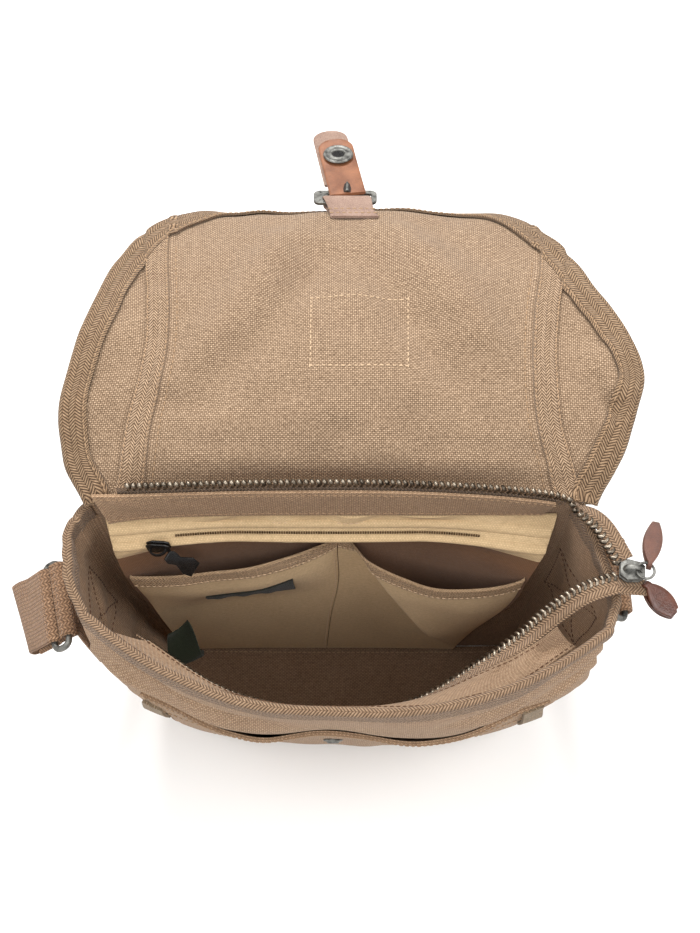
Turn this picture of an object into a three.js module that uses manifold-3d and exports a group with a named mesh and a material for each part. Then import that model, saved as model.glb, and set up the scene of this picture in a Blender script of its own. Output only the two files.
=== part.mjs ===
// Canvas shoulder bag standing open on its bottom, with the flap thrown back.
// Millimetres, +Z up, front towards -Y, origin at the middle of the bottom.
import * as THREE from 'three';
import { mergeVertices } from 'three/addons/utils/BufferGeometryUtils.js';
import Module from 'manifold-3d';

const wasm = await Module();
wasm.setup();

// Driving sizes
const BODY_HEIGHT = 215;
const BACK_Y = 34;
const CANVAS = 1.6;
const LINING = 1.1;
const TAPE = 1.0;
const TAPE_WIDTH = 12.5;
const WEBBING = 2.2;
const STRAP_WIDTH = 45;
const LEATHER = 2.2;
const GAP = 0.4;
const CORNER_ROUND = 10;

// Body from the floor to the rim: x of the four corners, y of the two front corners, how far the front
// and the two sides stand out between the corners, and how full the front stands
const BODY_SECTIONS = table('z backLeft backRight frontLeft frontRight leftY rightY front left right full', [
  [0, -113, 108, -106, 106, -20, -22, 12, 3, 3, 4],
  [14, -119, 113, -113, 113, -22, -24, 13, 4, 4, 4],
  [80, -125, 118, -130, 130, -28, -33, 23, 9, 6, 3.8],
  [150, -130, 123, -137, 139, -33, -39, 36, 14, 8, 3.6],
  [215, -134, 127, -138, 138, -29, -38, 53, 17, 8, 2.1],
]);

// Height of the open edge along the left side (0 to 1), the front (1 to 2) and the right side (2 to 3)
const RIM = table('along top', [
  [0, 209],
  [0.4, 206],
  [1, 204],
  [1.5, 203.5],
  [2, 205],
  [2.6, 207],
  [3, 209],
]);

// Flap: bend of its middle line by distance from the hinge, and its flat outline to both sides
const FLAP_SEAM = 120;
const FLAP_START = 1.2;
const FLAP_LENGTH = 200;
const EAR_TILT = 8;
const FLAP_BEND = table('q slope', [
  [0, 44],
  [20, 33],
  [60, 18],
  [110, 3],
  [156, -9],
  [175, -22],
  [189, -54],
  [203, -82],
]);
const FLAP_OUTLINE = table('q left right', [
  [2, 137, 134],
  [17, 148, 143],
  [33, 153, 151],
  [50, 157, 157],
  [66, 158, 160],
  [84, 156, 155],
  [103, 150, 146],
  [122, 143, 135],
  [140, 134, 124],
  [157, 123, 113],
  [172, 108, 100],
  [185, 86, 82],
  [195, 54, 52],
]);
const SEAM_PULL = table('q left right', [
  [0, 1.03, 1.02],
  [40, 0.965, 0.985],
  [90, 0.885, 1],
  [140, 0.925, 1.035],
  [200, 0.96, 1.05],
]);

// Lining on the back wall: its side edges by height, and how far they come forward
const LINING_TOP = 201;
const LINING_EDGES = table('z left right leftForward rightForward', [
  [4, -109, 74, 1, 1],
  [60, -114, 85, 8, 8],
  [120, -118, 99, 15, 17],
  [165, -124, 104, 19, 21],
  [186, -128, 111, 12, 14],
  [201, -131, 116, 0, 0],
]);

// Main zip: the free toothed edge of each half, from the left end to the slider, with the way its tape runs
const ZIP_TAPE = 8;
const BACK_ZIP = table('x y z sideX sideY sideZ', [
  [-121, 32.4, 230, 0, -0.1, -1],
  [-40, 33, 233, 0, -0.1, -1],
  [40, 33, 232, 0, -0.1, -1],
  [110, 30, 226, 0.1, -0.05, -1],
  [123, 22, 222, 0.6, 0.2, -0.6],
  [133, 14, 218, 0.8, 0.5, -0.1],
  [139, 3, 216.5, 0.9, 0.3, 0],
  [143, -6, 216, 0.5, 0.9, 0],
]);
const FRONT_ZIP = table('x y z sideX sideY sideZ', [
  [-112, -27, 166, 0, -0.3, 1],
  [-60, -58, 163, 0, -0.4, 1],
  [0, -69, 164, 0, -0.4, 1],
  [38, -63, 167, 0, -0.5, 0.9],
  [72, -45, 176, 0.2, -0.8, 0.6],
  [92, -34, 186, 0.3, -1, 0.2],
  [107, -25, 201, 0.4, -0.9, -0.3],
  [124, -17, 212, 0.2, -1, -0.1],
  [143, -12, 216, 0.1, -1, 0],
]);

// Shoulder strap from ring to ring, lying behind the bag: centre line and direction across the webbing
const STRAP_LEFT = table('x y z acrossX acrossY acrossZ', [
  [-177.5, -6, 148.5, -0.24, 1, 0],
  [-183.5, -5, 141.5, -0.3, 1, 0],
  [-186, -4, 135, -0.36, 0.93, 0],
  [-182, -1, 129.5, -0.3, 1, 0],
  [-169, 10, 119, -0.1, 1, 0],
  [-154, 24, 102, 0, 1, 0],
  [-146, 33, 70, -0.15, 1, 0.1],
  [-147, 45, 36, -0.5, 0.75, 0.35],
  [-151, 70, 11, -0.9, 0.3, 0.2],
  [-152, 106, 2.4, -1, 0, 0],
  [-136, 152, 1.9, -0.9, 0.45, 0],
  [-95, 191, 1.9, -0.55, 0.85, 0],
  [-40, 212, 1.9, -0.2, 1, 0],
  [0, 216, 1.9, 0, 1, 0],
]);
const STRAP_RIGHT = table('x y z acrossX acrossY acrossZ', [
  [40, 212, 1.9, 0.2, 1, 0],
  [95, 191, 1.9, 0.55, 0.85, 0],
  [136, 152, 1.9, 0.9, 0.45, 0],
  [152, 106, 2.4, 1, 0, 0],
  [150, 70, 11, 0.9, 0.3, 0.2],
  [144, 46, 36, 0.5, 0.75, 0.35],
  [144, 32, 70, 0.15, 1, 0.1],
  [150, 22, 110, 0, 1, 0],
  [156.5, 14, 146, 0, 1, 0],
]);

// Finishes
const FINISHES = {
  canvas: { color: 0xa58463, roughness: 0.95, metalness: 0 },
  flapCanvas: { color: 0xb6966f, roughness: 0.95, metalness: 0 },
  lining: { color: 0xcdaf7d, roughness: 0.92, metalness: 0 },
  tape: { color: 0xa08260, roughness: 0.95, metalness: 0 },
  webbing: { color: 0xb4875f, roughness: 0.95, metalness: 0 },
  leather: { color: 0xb96e41, roughness: 0.5, metalness: 0 },
  flesh: { color: 0xcda591, roughness: 0.8, metalness: 0 },
  darkLeather: { color: 0x965a46, roughness: 0.4, metalness: 0 },
  metal: { color: 0x8a8a84, roughness: 0.4, metalness: 0.9 },
  zipMetal: { color: 0x6e6458, roughness: 0.45, metalness: 0.9 },
  blackMetal: { color: 0x221f1e, roughness: 0.35, metalness: 0.6 },
  label: { color: 0x1c1c1c, roughness: 0.9, metalness: 0 },
  tag: { color: 0x2c3a26, roughness: 0.9, metalness: 0 },
};

const bag = new THREE.Group();

// Tables and curves
function table(names, rows) {
  const keys = names.split(' ');
  return rows.map((row) => Object.fromEntries(keys.map((key, i) => [key, row[i]])));
}

function smooth(rows, key, name, at) {
  const last = rows.length - 1;
  const x = Math.min(Math.max(at, rows[0][key]), rows[last][key]);
  let i = 0;
  while (i < last - 1 && x > rows[i + 1][key]) i += 1;
  const slope = (k) => {
    const before = rows[Math.max(k - 1, 0)];
    const after = rows[Math.min(k + 1, last)];
    return (after[name] - before[name]) / (after[key] - before[key]);
  };
  const span = rows[i + 1][key] - rows[i][key];
  const t = (x - rows[i][key]) / span;
  const value = (2 * t ** 3 - 3 * t ** 2 + 1) * rows[i][name] + (3 * t ** 2 - 2 * t ** 3) * rows[i + 1][name];
  const turn = (t ** 3 - 2 * t ** 2 + t) * slope(i) + (t ** 3 - t ** 2) * slope(i + 1);
  return value + turn * span;
}

const mix = (a, b, t) => a + (b - a) * t;
const vec = (x, y, z) => new THREE.Vector3(x, y, z);
const bump = (x, middle, width) => Math.exp(-(((x - middle) / width) ** 2));
const radians = THREE.MathUtils.degToRad;

function spline(points) {
  return new THREE.CatmullRomCurve3(points, false, 'catmullrom', 0.5);
}

// Closed solids
function solid(points, faces) {
  let volume = 0;
  for (const [a, b, c] of faces) {
    volume += points[a].dot(vec(0, 0, 0).crossVectors(points[b], points[c]));
  }
  const outward = volume > 0 ? faces : faces.map(([a, b, c]) => [a, c, b]);
  const geometry = new THREE.BufferGeometry();
  geometry.setAttribute('position', new THREE.Float32BufferAttribute(points.flatMap((p) => p.toArray()), 3));
  geometry.setIndex(outward.flat());
  return geometry;
}

// A wall between two offsets of one surface, over a grid of the surface
function sheet(surface, columns, rows, low, high) {
  const points = [];
  for (const h of [low, high]) {
    for (let j = 0; j <= rows; j += 1) {
      for (let i = 0; i <= columns; i += 1) points.push(surface(i / columns, j / rows, h));
    }
  }
  const at = (i, j, side) => (side * (rows + 1) + j) * (columns + 1) + i;
  const faces = [];
  const quad = (a, b, c, d) => faces.push([a, b, c], [a, c, d]);
  for (let j = 0; j < rows; j += 1) {
    for (let i = 0; i < columns; i += 1) {
      quad(at(i, j, 0), at(i, j + 1, 0), at(i + 1, j + 1, 0), at(i + 1, j, 0));
      quad(at(i, j, 1), at(i + 1, j, 1), at(i + 1, j + 1, 1), at(i, j + 1, 1));
    }
  }
  for (let i = 0; i < columns; i += 1) {
    quad(at(i, 0, 0), at(i + 1, 0, 0), at(i + 1, 0, 1), at(i, 0, 1));
    quad(at(i, rows, 0), at(i, rows, 1), at(i + 1, rows, 1), at(i + 1, rows, 0));
  }
  for (let j = 0; j < rows; j += 1) {
    quad(at(0, j, 0), at(0, j, 1), at(0, j + 1, 1), at(0, j + 1, 0));
    quad(at(columns, j, 0), at(columns, j + 1, 0), at(columns, j + 1, 1), at(columns, j, 1));
  }
  return solid(points, faces);
}

// A run of equal rings, capped at both ends, or closed on itself where no cap is given
function loft(rings, cap) {
  const count = rings[0].length;
  const faces = [];
  const spans = cap ? rings.length - 1 : rings.length;
  for (let k = 0; k < spans; k += 1) {
    const next = (k + 1) % rings.length;
    for (let i = 0; i < count; i += 1) {
      const j = (i + 1) % count;
      faces.push([k * count + i, k * count + j, next * count + j]);
      faces.push([k * count + i, next * count + j, next * count + i]);
    }
  }
  if (cap) {
    const end = (rings.length - 1) * count;
    for (const [a, b, c] of THREE.ShapeUtils.triangulateShape(cap, [])) {
      faces.push([a, c, b], [end + a, end + b, end + c]);
    }
  }
  return solid(rings.flat(), faces);
}

// A binding folded over an edge: the section is given as depth in from the edge and height off the cloth
function edgeChannel(steps, place, width, clear) {
  const inner = CANVAS / 2 + clear;
  const outer = inner + TAPE;
  const rim = -GAP - TAPE;
  const depths = [width, width / 2, rim];
  const inside = [-GAP, width / 2, width];
  const section = [
    ...depths.map((d) => [d, outer]),
    ...depths.toReversed().map((d) => [d, -outer]),
    ...inside.toReversed().map((d) => [d, -inner]),
    ...inside.map((d) => [d, inner]),
  ];
  const rings = [];
  for (let k = 0; k <= steps; k += 1) rings.push(section.map(([d, h]) => place(k / steps, d, h)));
  return loft(rings, section.map(([d, h]) => new THREE.Vector2(d, h)));
}

// A flat band along stations, each a centre and a vector to one edge
function band(stations, thickness) {
  const rings = stations.map(({ at, across }, k) => {
    const before = stations[Math.max(k - 1, 0)].at;
    const after = stations[Math.min(k + 1, stations.length - 1)].at;
    const normal = after.clone().sub(before).cross(across).setLength(thickness / 2);
    const corner = (s, h) => at.clone().addScaledVector(across, s).addScaledVector(normal, h);
    return [corner(-1, -1), corner(1, -1), corner(1, 1), corner(-1, 1)];
  });
  return loft(rings, [[-1, -1], [1, -1], [1, 1], [-1, 1]].map(([x, y]) => new THREE.Vector2(x, y)));
}

// A strip doubled round a bar: two layers that start apart by the bar and close up behind it
function doubledStrip({ bar, out, up, side, halfWidth, radius, lower, upper, thickness, closed }) {
  const local = [];
  for (let k = 0; k < 4; k += 1) local.push([-mix(lower, 2.4 * radius, k / 3), -closed]);
  for (let k = 0; k <= 6; k += 1) {
    const angle = radians(-100 + (200 * k) / 6);
    local.push([radius * Math.cos(angle), radius * Math.sin(angle)]);
  }
  for (let k = 0; k < 4; k += 1) local.push([-mix(2.4 * radius, upper, k / 3), closed]);
  const stations = local.map(([s, t]) => ({
    at: bar.clone().addScaledVector(out, s).addScaledVector(up, t),
    across: side.clone().multiplyScalar(halfWidth(Math.max(-s, 0))),
  }));
  return band(stations, thickness);
}

// A rounded rectangular wire loop in its own plane
function wireLoop(width, height, wire, sides) {
  const corner = Math.min(width, height) * 0.42;
  const path = [];
  for (let quarter = 0; quarter < 4; quarter += 1) {
    const cx = (quarter === 0 || quarter === 3 ? 1 : -1) * (width / 2 - corner);
    const cy = (quarter < 2 ? 1 : -1) * (height / 2 - corner);
    for (let k = 0; k < 4; k += 1) {
      const angle = (quarter + k / 3) * (Math.PI / 2);
      path.push([cx + corner * Math.cos(angle), cy + corner * Math.sin(angle), angle]);
    }
  }
  const rings = path.map(([x, y, angle]) => {
    const ring = [];
    for (let i = 0; i < sides; i += 1) {
      const turn = ((i + 0.5) / sides) * 2 * Math.PI;
      const r = (wire / 2) * Math.cos(turn);
      ring.push(vec(x + r * Math.cos(angle), y + r * Math.sin(angle), (wire / 2) * Math.sin(turn)));
    }
    return ring;
  });
  return loft(rings, null);
}

function extruded(outline, depth, holes = []) {
  const shape = new THREE.Shape(outline.map(([x, y]) => new THREE.Vector2(x, y)));
  for (const hole of holes) shape.holes.push(new THREE.Path(hole.map(([x, y]) => new THREE.Vector2(x, y))));
  const geometry = new THREE.ExtrudeGeometry(shape, { depth, bevelEnabled: false });
  return geometry.translate(0, 0, -depth / 2);
}

function turned(profile, sides) {
  const geometry = new THREE.LatheGeometry(profile.map(([r, y]) => new THREE.Vector2(r, y)), sides);
  return geometry.rotateX(Math.PI / 2);
}

function toManifold(geometry) {
  const bare = geometry.clone();
  bare.deleteAttribute('normal');
  bare.deleteAttribute('uv');
  const merged = mergeVertices(bare, 1e-4);
  const vertProperties = new Float32Array(merged.attributes.position.array);
  const triVerts = new Uint32Array(merged.index.array);
  return new wasm.Manifold(new wasm.Mesh({ numProp: 3, vertProperties, triVerts }));
}

function joined(first, second) {
  const mesh = toManifold(first).add(toManifold(second)).getMesh();
  const geometry = new THREE.BufferGeometry();
  geometry.setAttribute('position', new THREE.Float32BufferAttribute(mesh.vertProperties, 3));
  geometry.setIndex(Array.from(mesh.triVerts));
  return geometry;
}

function add(name, geometry, finish, parent = bag) {
  const mesh = new THREE.Mesh(geometry, new THREE.MeshStandardMaterial(FINISHES[finish]));
  mesh.name = name;
  parent.add(mesh);
  return mesh;
}

// A group whose own axes lie along the given directions
function placed(at, xAxis, yAxis) {
  const group = new THREE.Group();
  const x = xAxis.clone().normalize();
  const z = x.clone().cross(yAxis).normalize();
  const basis = new THREE.Matrix4().makeBasis(x, z.clone().cross(x), z);
  group.applyMatrix4(basis.setPosition(at));
  bag.add(group);
  return group;
}

// Surface normal of a surface of two parameters
function lifted(surface, u, v, h) {
  const step = 0.5;
  const du = surface(u + step, v).sub(surface(u - step, v));
  const dv = surface(u, v + step).sub(surface(u, v - step));
  return surface(u, v).addScaledVector(du.cross(dv).normalize(), h);
}

// The wall that runs round both sides and the front, by distance along and height
function bodySection(z) {
  const get = (name) => smooth(BODY_SECTIONS, 'z', name, z);
  const corners = [
    [get('backLeft'), BACK_Y],
    [get('frontLeft'), get('leftY')],
    [get('frontRight'), get('rightY')],
    [get('backRight'), BACK_Y],
  ];
  const span = (a, b) => Math.hypot(b[0] - a[0], b[1] - a[1]);
  const lengths = [0, 1, 2].map((i) => span(corners[i], corners[i + 1]));
  return { corners, lengths, stand: [get('left'), get('front'), get('right')], full: get('full') };
}

function wallRaw({ corners, lengths, stand, full }, along) {
  let panel = 0;
  let rest = along;
  while (panel < 2 && rest > lengths[panel]) {
    rest -= lengths[panel];
    panel += 1;
  }
  const s = Math.min(Math.max(rest / lengths[panel], 0), 1);
  const [from, to] = [corners[panel], corners[panel + 1]];
  const out = [(to[1] - from[1]) / lengths[panel], -(to[0] - from[0]) / lengths[panel]];
  const skewed = s ** 0.6;
  const shape = panel === 1 ? 1 - Math.abs(2 * s - 1) ** full : 4 * skewed * (1 - skewed);
  const reach = stand[panel] * shape;
  return [mix(from[0], to[0], s) + out[0] * reach, mix(from[1], to[1], s) + out[1] * reach];
}

function wallAt(along, z) {
  const section = bodySection(z);
  const panel = Math.min(Math.floor(along), 2);
  const total = section.lengths[0] + section.lengths[1] + section.lengths[2];
  const before = section.lengths.slice(0, panel).reduce((sum, length) => sum + length, 0);
  const run = before + (along - panel) * section.lengths[panel];
  const round = Math.min(CORNER_ROUND, run, total - run);
  const near = [-1, -0.5, 0, 0.5, 1].map((k) => wallRaw(section, run + k * round));
  return vec(near.reduce((s, p) => s + p[0], 0) / 5, near.reduce((s, p) => s + p[1], 0) / 5, z);
}

function wall(along, z, h) {
  const da = 0.01;
  const dz = 0.5;
  const du = wallAt(Math.min(along + da, 3), z).sub(wallAt(Math.max(along - da, 0), z));
  const dv = wallAt(along, z + dz).sub(wallAt(along, z - dz));
  return wallAt(along, z).addScaledVector(du.cross(dv).normalize(), h);
}

const rimTop = (along) => smooth(RIM, 'along', 'top', along);

// Rows close up under the rim, where the binding folds over it
function wallPanel(from, to) {
  const hem = 14;
  const plain = 5 / 7;
  return (u, v, h) => {
    const along = mix(from, to, u);
    const top = rimTop(along);
    const [below, above] = [v / plain, (v - plain) / (1 - plain)];
    return wall(along, v < plain ? (top - hem) * below : mix(top - hem, top, above), h);
  };
}

function addBody() {
  const corner = 0.03;
  const seam = 0.003;
  const rows = 7;
  const panels = [
    { name: 'gusset_left', from: corner, to: 1 - seam, columns: 7 },
    { name: 'front_panel', from: 1 + seam / 4, to: 2 - seam / 4, columns: 20 },
    { name: 'gusset_right', from: 2 + seam, to: 3 - corner, columns: 7 },
  ];
  const stations = [];
  for (const { name, from, to, columns } of panels) {
    add(name, sheet(wallPanel(from, to), columns, rows, -CANVAS, 0), 'canvas');
    for (let k = 0; k < columns; k += 1) stations.push(mix(from, to, k / columns));
  }
  stations.push(panels[2].to);

  const back = (u, v, h) => {
    const z = v * BODY_HEIGHT;
    const { corners } = bodySection(z);
    return vec(mix(corners[0][0], corners[3][0], u), BACK_Y + h, z);
  };
  add('back_panel', sheet(back, 8, 6, -CANVAS, 0), 'canvas');

  const inset = CANVAS + 2 * GAP;
  const bottom = (u, v, h) => {
    const { corners } = bodySection(0);
    const front = wallAt(mix(1.03, 1.97, u), 0);
    const rear = vec(mix(corners[0][0], corners[3][0], mix(0.025, 0.975, u)), BACK_Y - inset, 0);
    front.y += inset;
    return front.lerp(rear, v).setZ(h);
  };
  add('bottom_panel', sheet(bottom, 12, 3, 0, CANVAS), 'canvas');

  const rim = (t, d, h) => {
    const along = stations[Math.round(t * (stations.length - 1))];
    return wall(along, rimTop(along) - d, h - CANVAS / 2);
  };
  add('rim_binding', edgeChannel(stations.length - 1, rim, 11, GAP), 'tape');
}

// Flap surface by distance across and distance from the hinge
const flapProfile = (() => {
  const steps = [];
  let y = BACK_Y - CANVAS / 2;
  let z = BODY_HEIGHT;
  for (let q = 0; q <= FLAP_LENGTH + 6; q += 1) {
    steps.push({ q, y, z });
    const slope = radians(smooth(FLAP_BEND, 'q', 'slope', q + 0.5));
    y += Math.cos(slope);
    z += Math.sin(slope);
  }
  return steps;
})();

const outline = (() => {
  const left = FLAP_OUTLINE.map((row) => vec(-row.left, row.q, 0));
  const right = FLAP_OUTLINE.map((row) => vec(row.right, row.q, 0)).toReversed();
  return spline([...left, vec(0, FLAP_LENGTH, 0), ...right]);
})();
const outlinePoints = outline.getPoints(400);

function flapMiddle(p, q) {
  const side = Math.sign(p);
  const across = Math.min(Math.abs(p), FLAP_SEAM);
  const ear = Math.abs(p) - across;
  const slope = radians(smooth(FLAP_BEND, 'q', 'slope', q));
  const tilt = radians(EAR_TILT);
  const pull = smooth(SEAM_PULL, 'q', side < 0 ? 'left' : 'right', q);
  const earLift = Math.sin(tilt) * (Math.hypot(ear, 6) - 6);
  const crown = 5 * (1 - (across / FLAP_SEAM) ** 2) * bump(q, 85, 60);
  const fold = 2.5 * bump(Math.abs(p), 12 + (FLAP_LENGTH - q) * 0.42, 14) * bump(q, 120, 50);
  const droop = side > 0 ? -5 * (across / FLAP_SEAM) ** 2 * (q / FLAP_LENGTH) ** 3 : 0;
  const lift = crown + fold + droop + earLift;
  const y = q < 0 ? flapProfile[0].y + q * Math.cos(slope) : smooth(flapProfile, 'q', 'y', q);
  const z = q < 0 ? flapProfile[0].z + q * Math.sin(slope) : smooth(flapProfile, 'q', 'z', q);
  const x = side * (across * pull + ear * Math.cos(tilt));
  return vec(x, y - lift * Math.sin(slope), z + lift * Math.cos(slope));
}

const flap = (p, q, h) => lifted(flapMiddle, p, q, h);

// Where the flat outline lies beyond a point of the seam or of the lip
function lipAt(p) {
  const k = outlinePoints.findIndex((point) => point.x >= p && point.y > 120);
  const [a, b] = [outlinePoints[k - 1], outlinePoints[k]];
  return mix(a.y, b.y, (p - a.x) / (b.x - a.x));
}

function earAt(q, side) {
  const points = side < 0 ? outlinePoints : outlinePoints.toReversed();
  const k = Math.max(points.findIndex((point) => point.y >= q), 1);
  const [a, b] = [points[k - 1], points[k]];
  return side * mix(a.x, b.x, (q - a.y) / (b.y - a.y));
}

function addFlap() {
  const half = CANVAS / 2;
  const panel = (u, v, h) => {
    const p = mix(-FLAP_SEAM + GAP / 2, FLAP_SEAM - GAP / 2, u);
    const reach = lipAt(p) - GAP - FLAP_START;
    return flap(p, FLAP_START + reach * (1 - (1 - v) ** 1.7), h);
  };
  add('flap_panel', sheet(panel, 16, 14, -half, half), 'flapCanvas');

  for (const [name, side, earEnd, tapeEnd] of [['left', -1, 150, 136], ['right', 1, 136, 120]]) {
    const ear = (u, v, h) => {
      const q = mix(FLAP_START, earEnd, v);
      const p = mix(FLAP_SEAM + GAP / 2, earAt(q, side) - GAP, u);
      return flap(side * p, q, h);
    };
    add(`flap_ear_${name}`, sheet(ear, 4, 14, -half, half), 'flapCanvas');

    const tape = (u, v, h) => {
      const p = mix(FLAP_SEAM - TAPE_WIDTH, FLAP_SEAM - GAP, u);
      return flap(side * p, mix(6, tapeEnd, v), h);
    };
    const low = half + GAP;
    add(`flap_seam_tape_${name}`, sheet(tape, 1, 14, low, low + TAPE), 'tape');
  }

  const edge = (t, d, h) => {
    const at = outline.getPoint(t);
    const along = outline.getTangent(t);
    return flap(at.x + along.y * d, at.y - along.x * d, h);
  };
  add('flap_edge_binding', edgeChannel(42, edge, TAPE_WIDTH, 2 * GAP), 'tape');

  const patch = (u, v, h) => flap(mix(-21.5, 37, u), mix(69.5, 113.5, v), h);
  add('flap_patch', sheet(patch, 5, 4, -half - GAP - TAPE, -half - GAP), 'flapCanvas');
}

// Lining on the back wall and the pockets sewn to it
function liningAt(u, z) {
  const get = (name) => smooth(LINING_EDGES, 'z', name, z);
  const x = mix(get('left'), get('right'), u);
  const left = get('leftForward') * Math.max(0, 1 - u / 0.3) ** 1.6;
  const right = get('rightForward') * Math.max(0, (u - 0.7) / 0.3) ** 1.6;
  const hang = 1.5 * bump(z, 110, 60);
  return vec(x, BACK_Y - CANVAS - 2 * GAP - left - right - hang, z);
}

const SLIP_POCKETS = table('name from to outer inner sag forward', [
  ['left', 0.01, 0.525, 163, 177, 5, 12],
  ['right', 0.535, 0.99, 164, 177, 8, 18],
]);

function slipPocket(pocket, u, v, h) {
  const s = pocket.name === 'left' ? u : 1 - u;
  const top = mix(pocket.outer, pocket.inner, s ** 1.4) - pocket.sag * Math.sin(Math.PI * u);
  const across = mix(pocket.from, pocket.to, u);
  const at = liningAt(across, mix(5, top, v));
  const belly = Math.sin(Math.PI * u) ** 0.8 * v ** 1.3;
  at.y -= LINING + GAP + pocket.forward * belly + h;
  return at;
}

function addInside() {
  const lining = (u, v, h) => liningAt(u, mix(4, LINING_TOP, v)).add(vec(0, -h, 0));
  add('lining_back', sheet(lining, 14, 8, 0, LINING), 'lining');
  const tapeStart = 0.93;
  for (const pocket of SLIP_POCKETS) {
    const cloth = (u, v, h) => slipPocket(pocket, u, v * tapeStart, h);
    const tape = (u, v, h) => slipPocket(pocket, u, mix(tapeStart + 0.006, 1, v), h);
    add(`slip_pocket_${pocket.name}`, sheet(cloth, 12, 6, 0, LINING), 'lining');
    add(`slip_tape_${pocket.name}`, sheet(tape, 12, 1, -0.3, LINING + 0.6), 'tape');
  }
  const label = (u, v, h) => slipPocket(SLIP_POCKETS[0], mix(0.307, 0.771, u), mix(0.68, 0.84, v), h);
  add('inside_label', sheet(label, 6, 3, LINING + GAP, LINING + GAP + 0.8), 'label');

  const tag = (u, v, h) => {
    const curl = 7 * Math.sin(Math.PI * v);
    return vec(mix(-110, -90, u) + 4 * v, -2 - curl + 5 * u - h, mix(101, 63, v));
  };
  add('side_tag', sheet(tag, 2, 6, 0, 1), 'tag');

  const teeth = (u, v, h) => liningAt(mix(0.15, 0.84, u), mix(189.5, 192.5, v)).add(vec(0, -h, 0));
  add('pocket_zip_teeth', sheet(teeth, 14, 1, LINING + 1, LINING + 2.2), 'zipMetal');

  const onLining = liningAt(0.11, 189.5).add(vec(0, -LINING - 5, 0));
  const slider = placed(onLining, vec(1, -0.06, 0.12), vec(0, 0, 1));
  add('pocket_zip_slider', zipSlider(13, 10, 3.2), 'blackMetal', slider);
  const hang = vec(0.72, -0.12, -0.68).normalize();
  const pullAt = onLining.clone().addScaledVector(hang, 16.5).add(vec(0, -1.6, 0));
  const pull = placed(pullAt, hang, vec(0.68, 0, 0.72));
  const plate = [[-8, -1.6], [-4, -2.2], [6, -3.4], [9, -2.2], [9, 2.2], [6, 3.4], [-4, 2.2], [-8, 1.6]];
  add('pocket_zip_pull', extruded(plate, 1.6), 'blackMetal', pull);
}

// A zip slider: two shield plates as one block, with an arch for the pull
function zipSlider(length, width, depth) {
  const shield = [
    [-length / 2, -width * 0.3],
    [-length * 0.2, -width / 2],
    [length * 0.3, -width * 0.42],
    [length / 2, -width * 0.26],
    [length / 2, width * 0.26],
    [length * 0.3, width * 0.42],
    [-length * 0.2, width / 2],
    [-length / 2, width * 0.3],
  ];
  const arch = [];
  const hole = [];
  for (let k = 0; k <= 6; k += 1) {
    const angle = (Math.PI * k) / 6;
    arch.push([length * 0.4 * Math.cos(angle), length * 0.34 * Math.sin(angle)]);
    hole.push([length * 0.29 * Math.cos(angle), length * 0.23 * Math.sin(angle) + 0.01]);
  }
  const crown = extruded([...arch, [-length * 0.4, -0.6], [length * 0.4, -0.6]], width * 0.24, [hole]);
  crown.rotateX(Math.PI / 2).translate(0, 0, depth / 2);
  return joined(extruded(shield, depth), crown);
}

// Main zip: stations of a zip half as points with the direction of its tape
function zipHalf(rows) {
  const line = spline(rows.map((row) => vec(row.x, row.y, row.z)));
  const side = spline(rows.map((row) => vec(row.sideX, row.sideY, row.sideZ).normalize()));
  return (t, offset) => {
    const along = line.getTangent(t);
    const across = side.getPoint(t);
    across.addScaledVector(along, -across.dot(along)).normalize();
    return { at: line.getPoint(t).addScaledVector(across, offset), across, along };
  };
}

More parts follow.
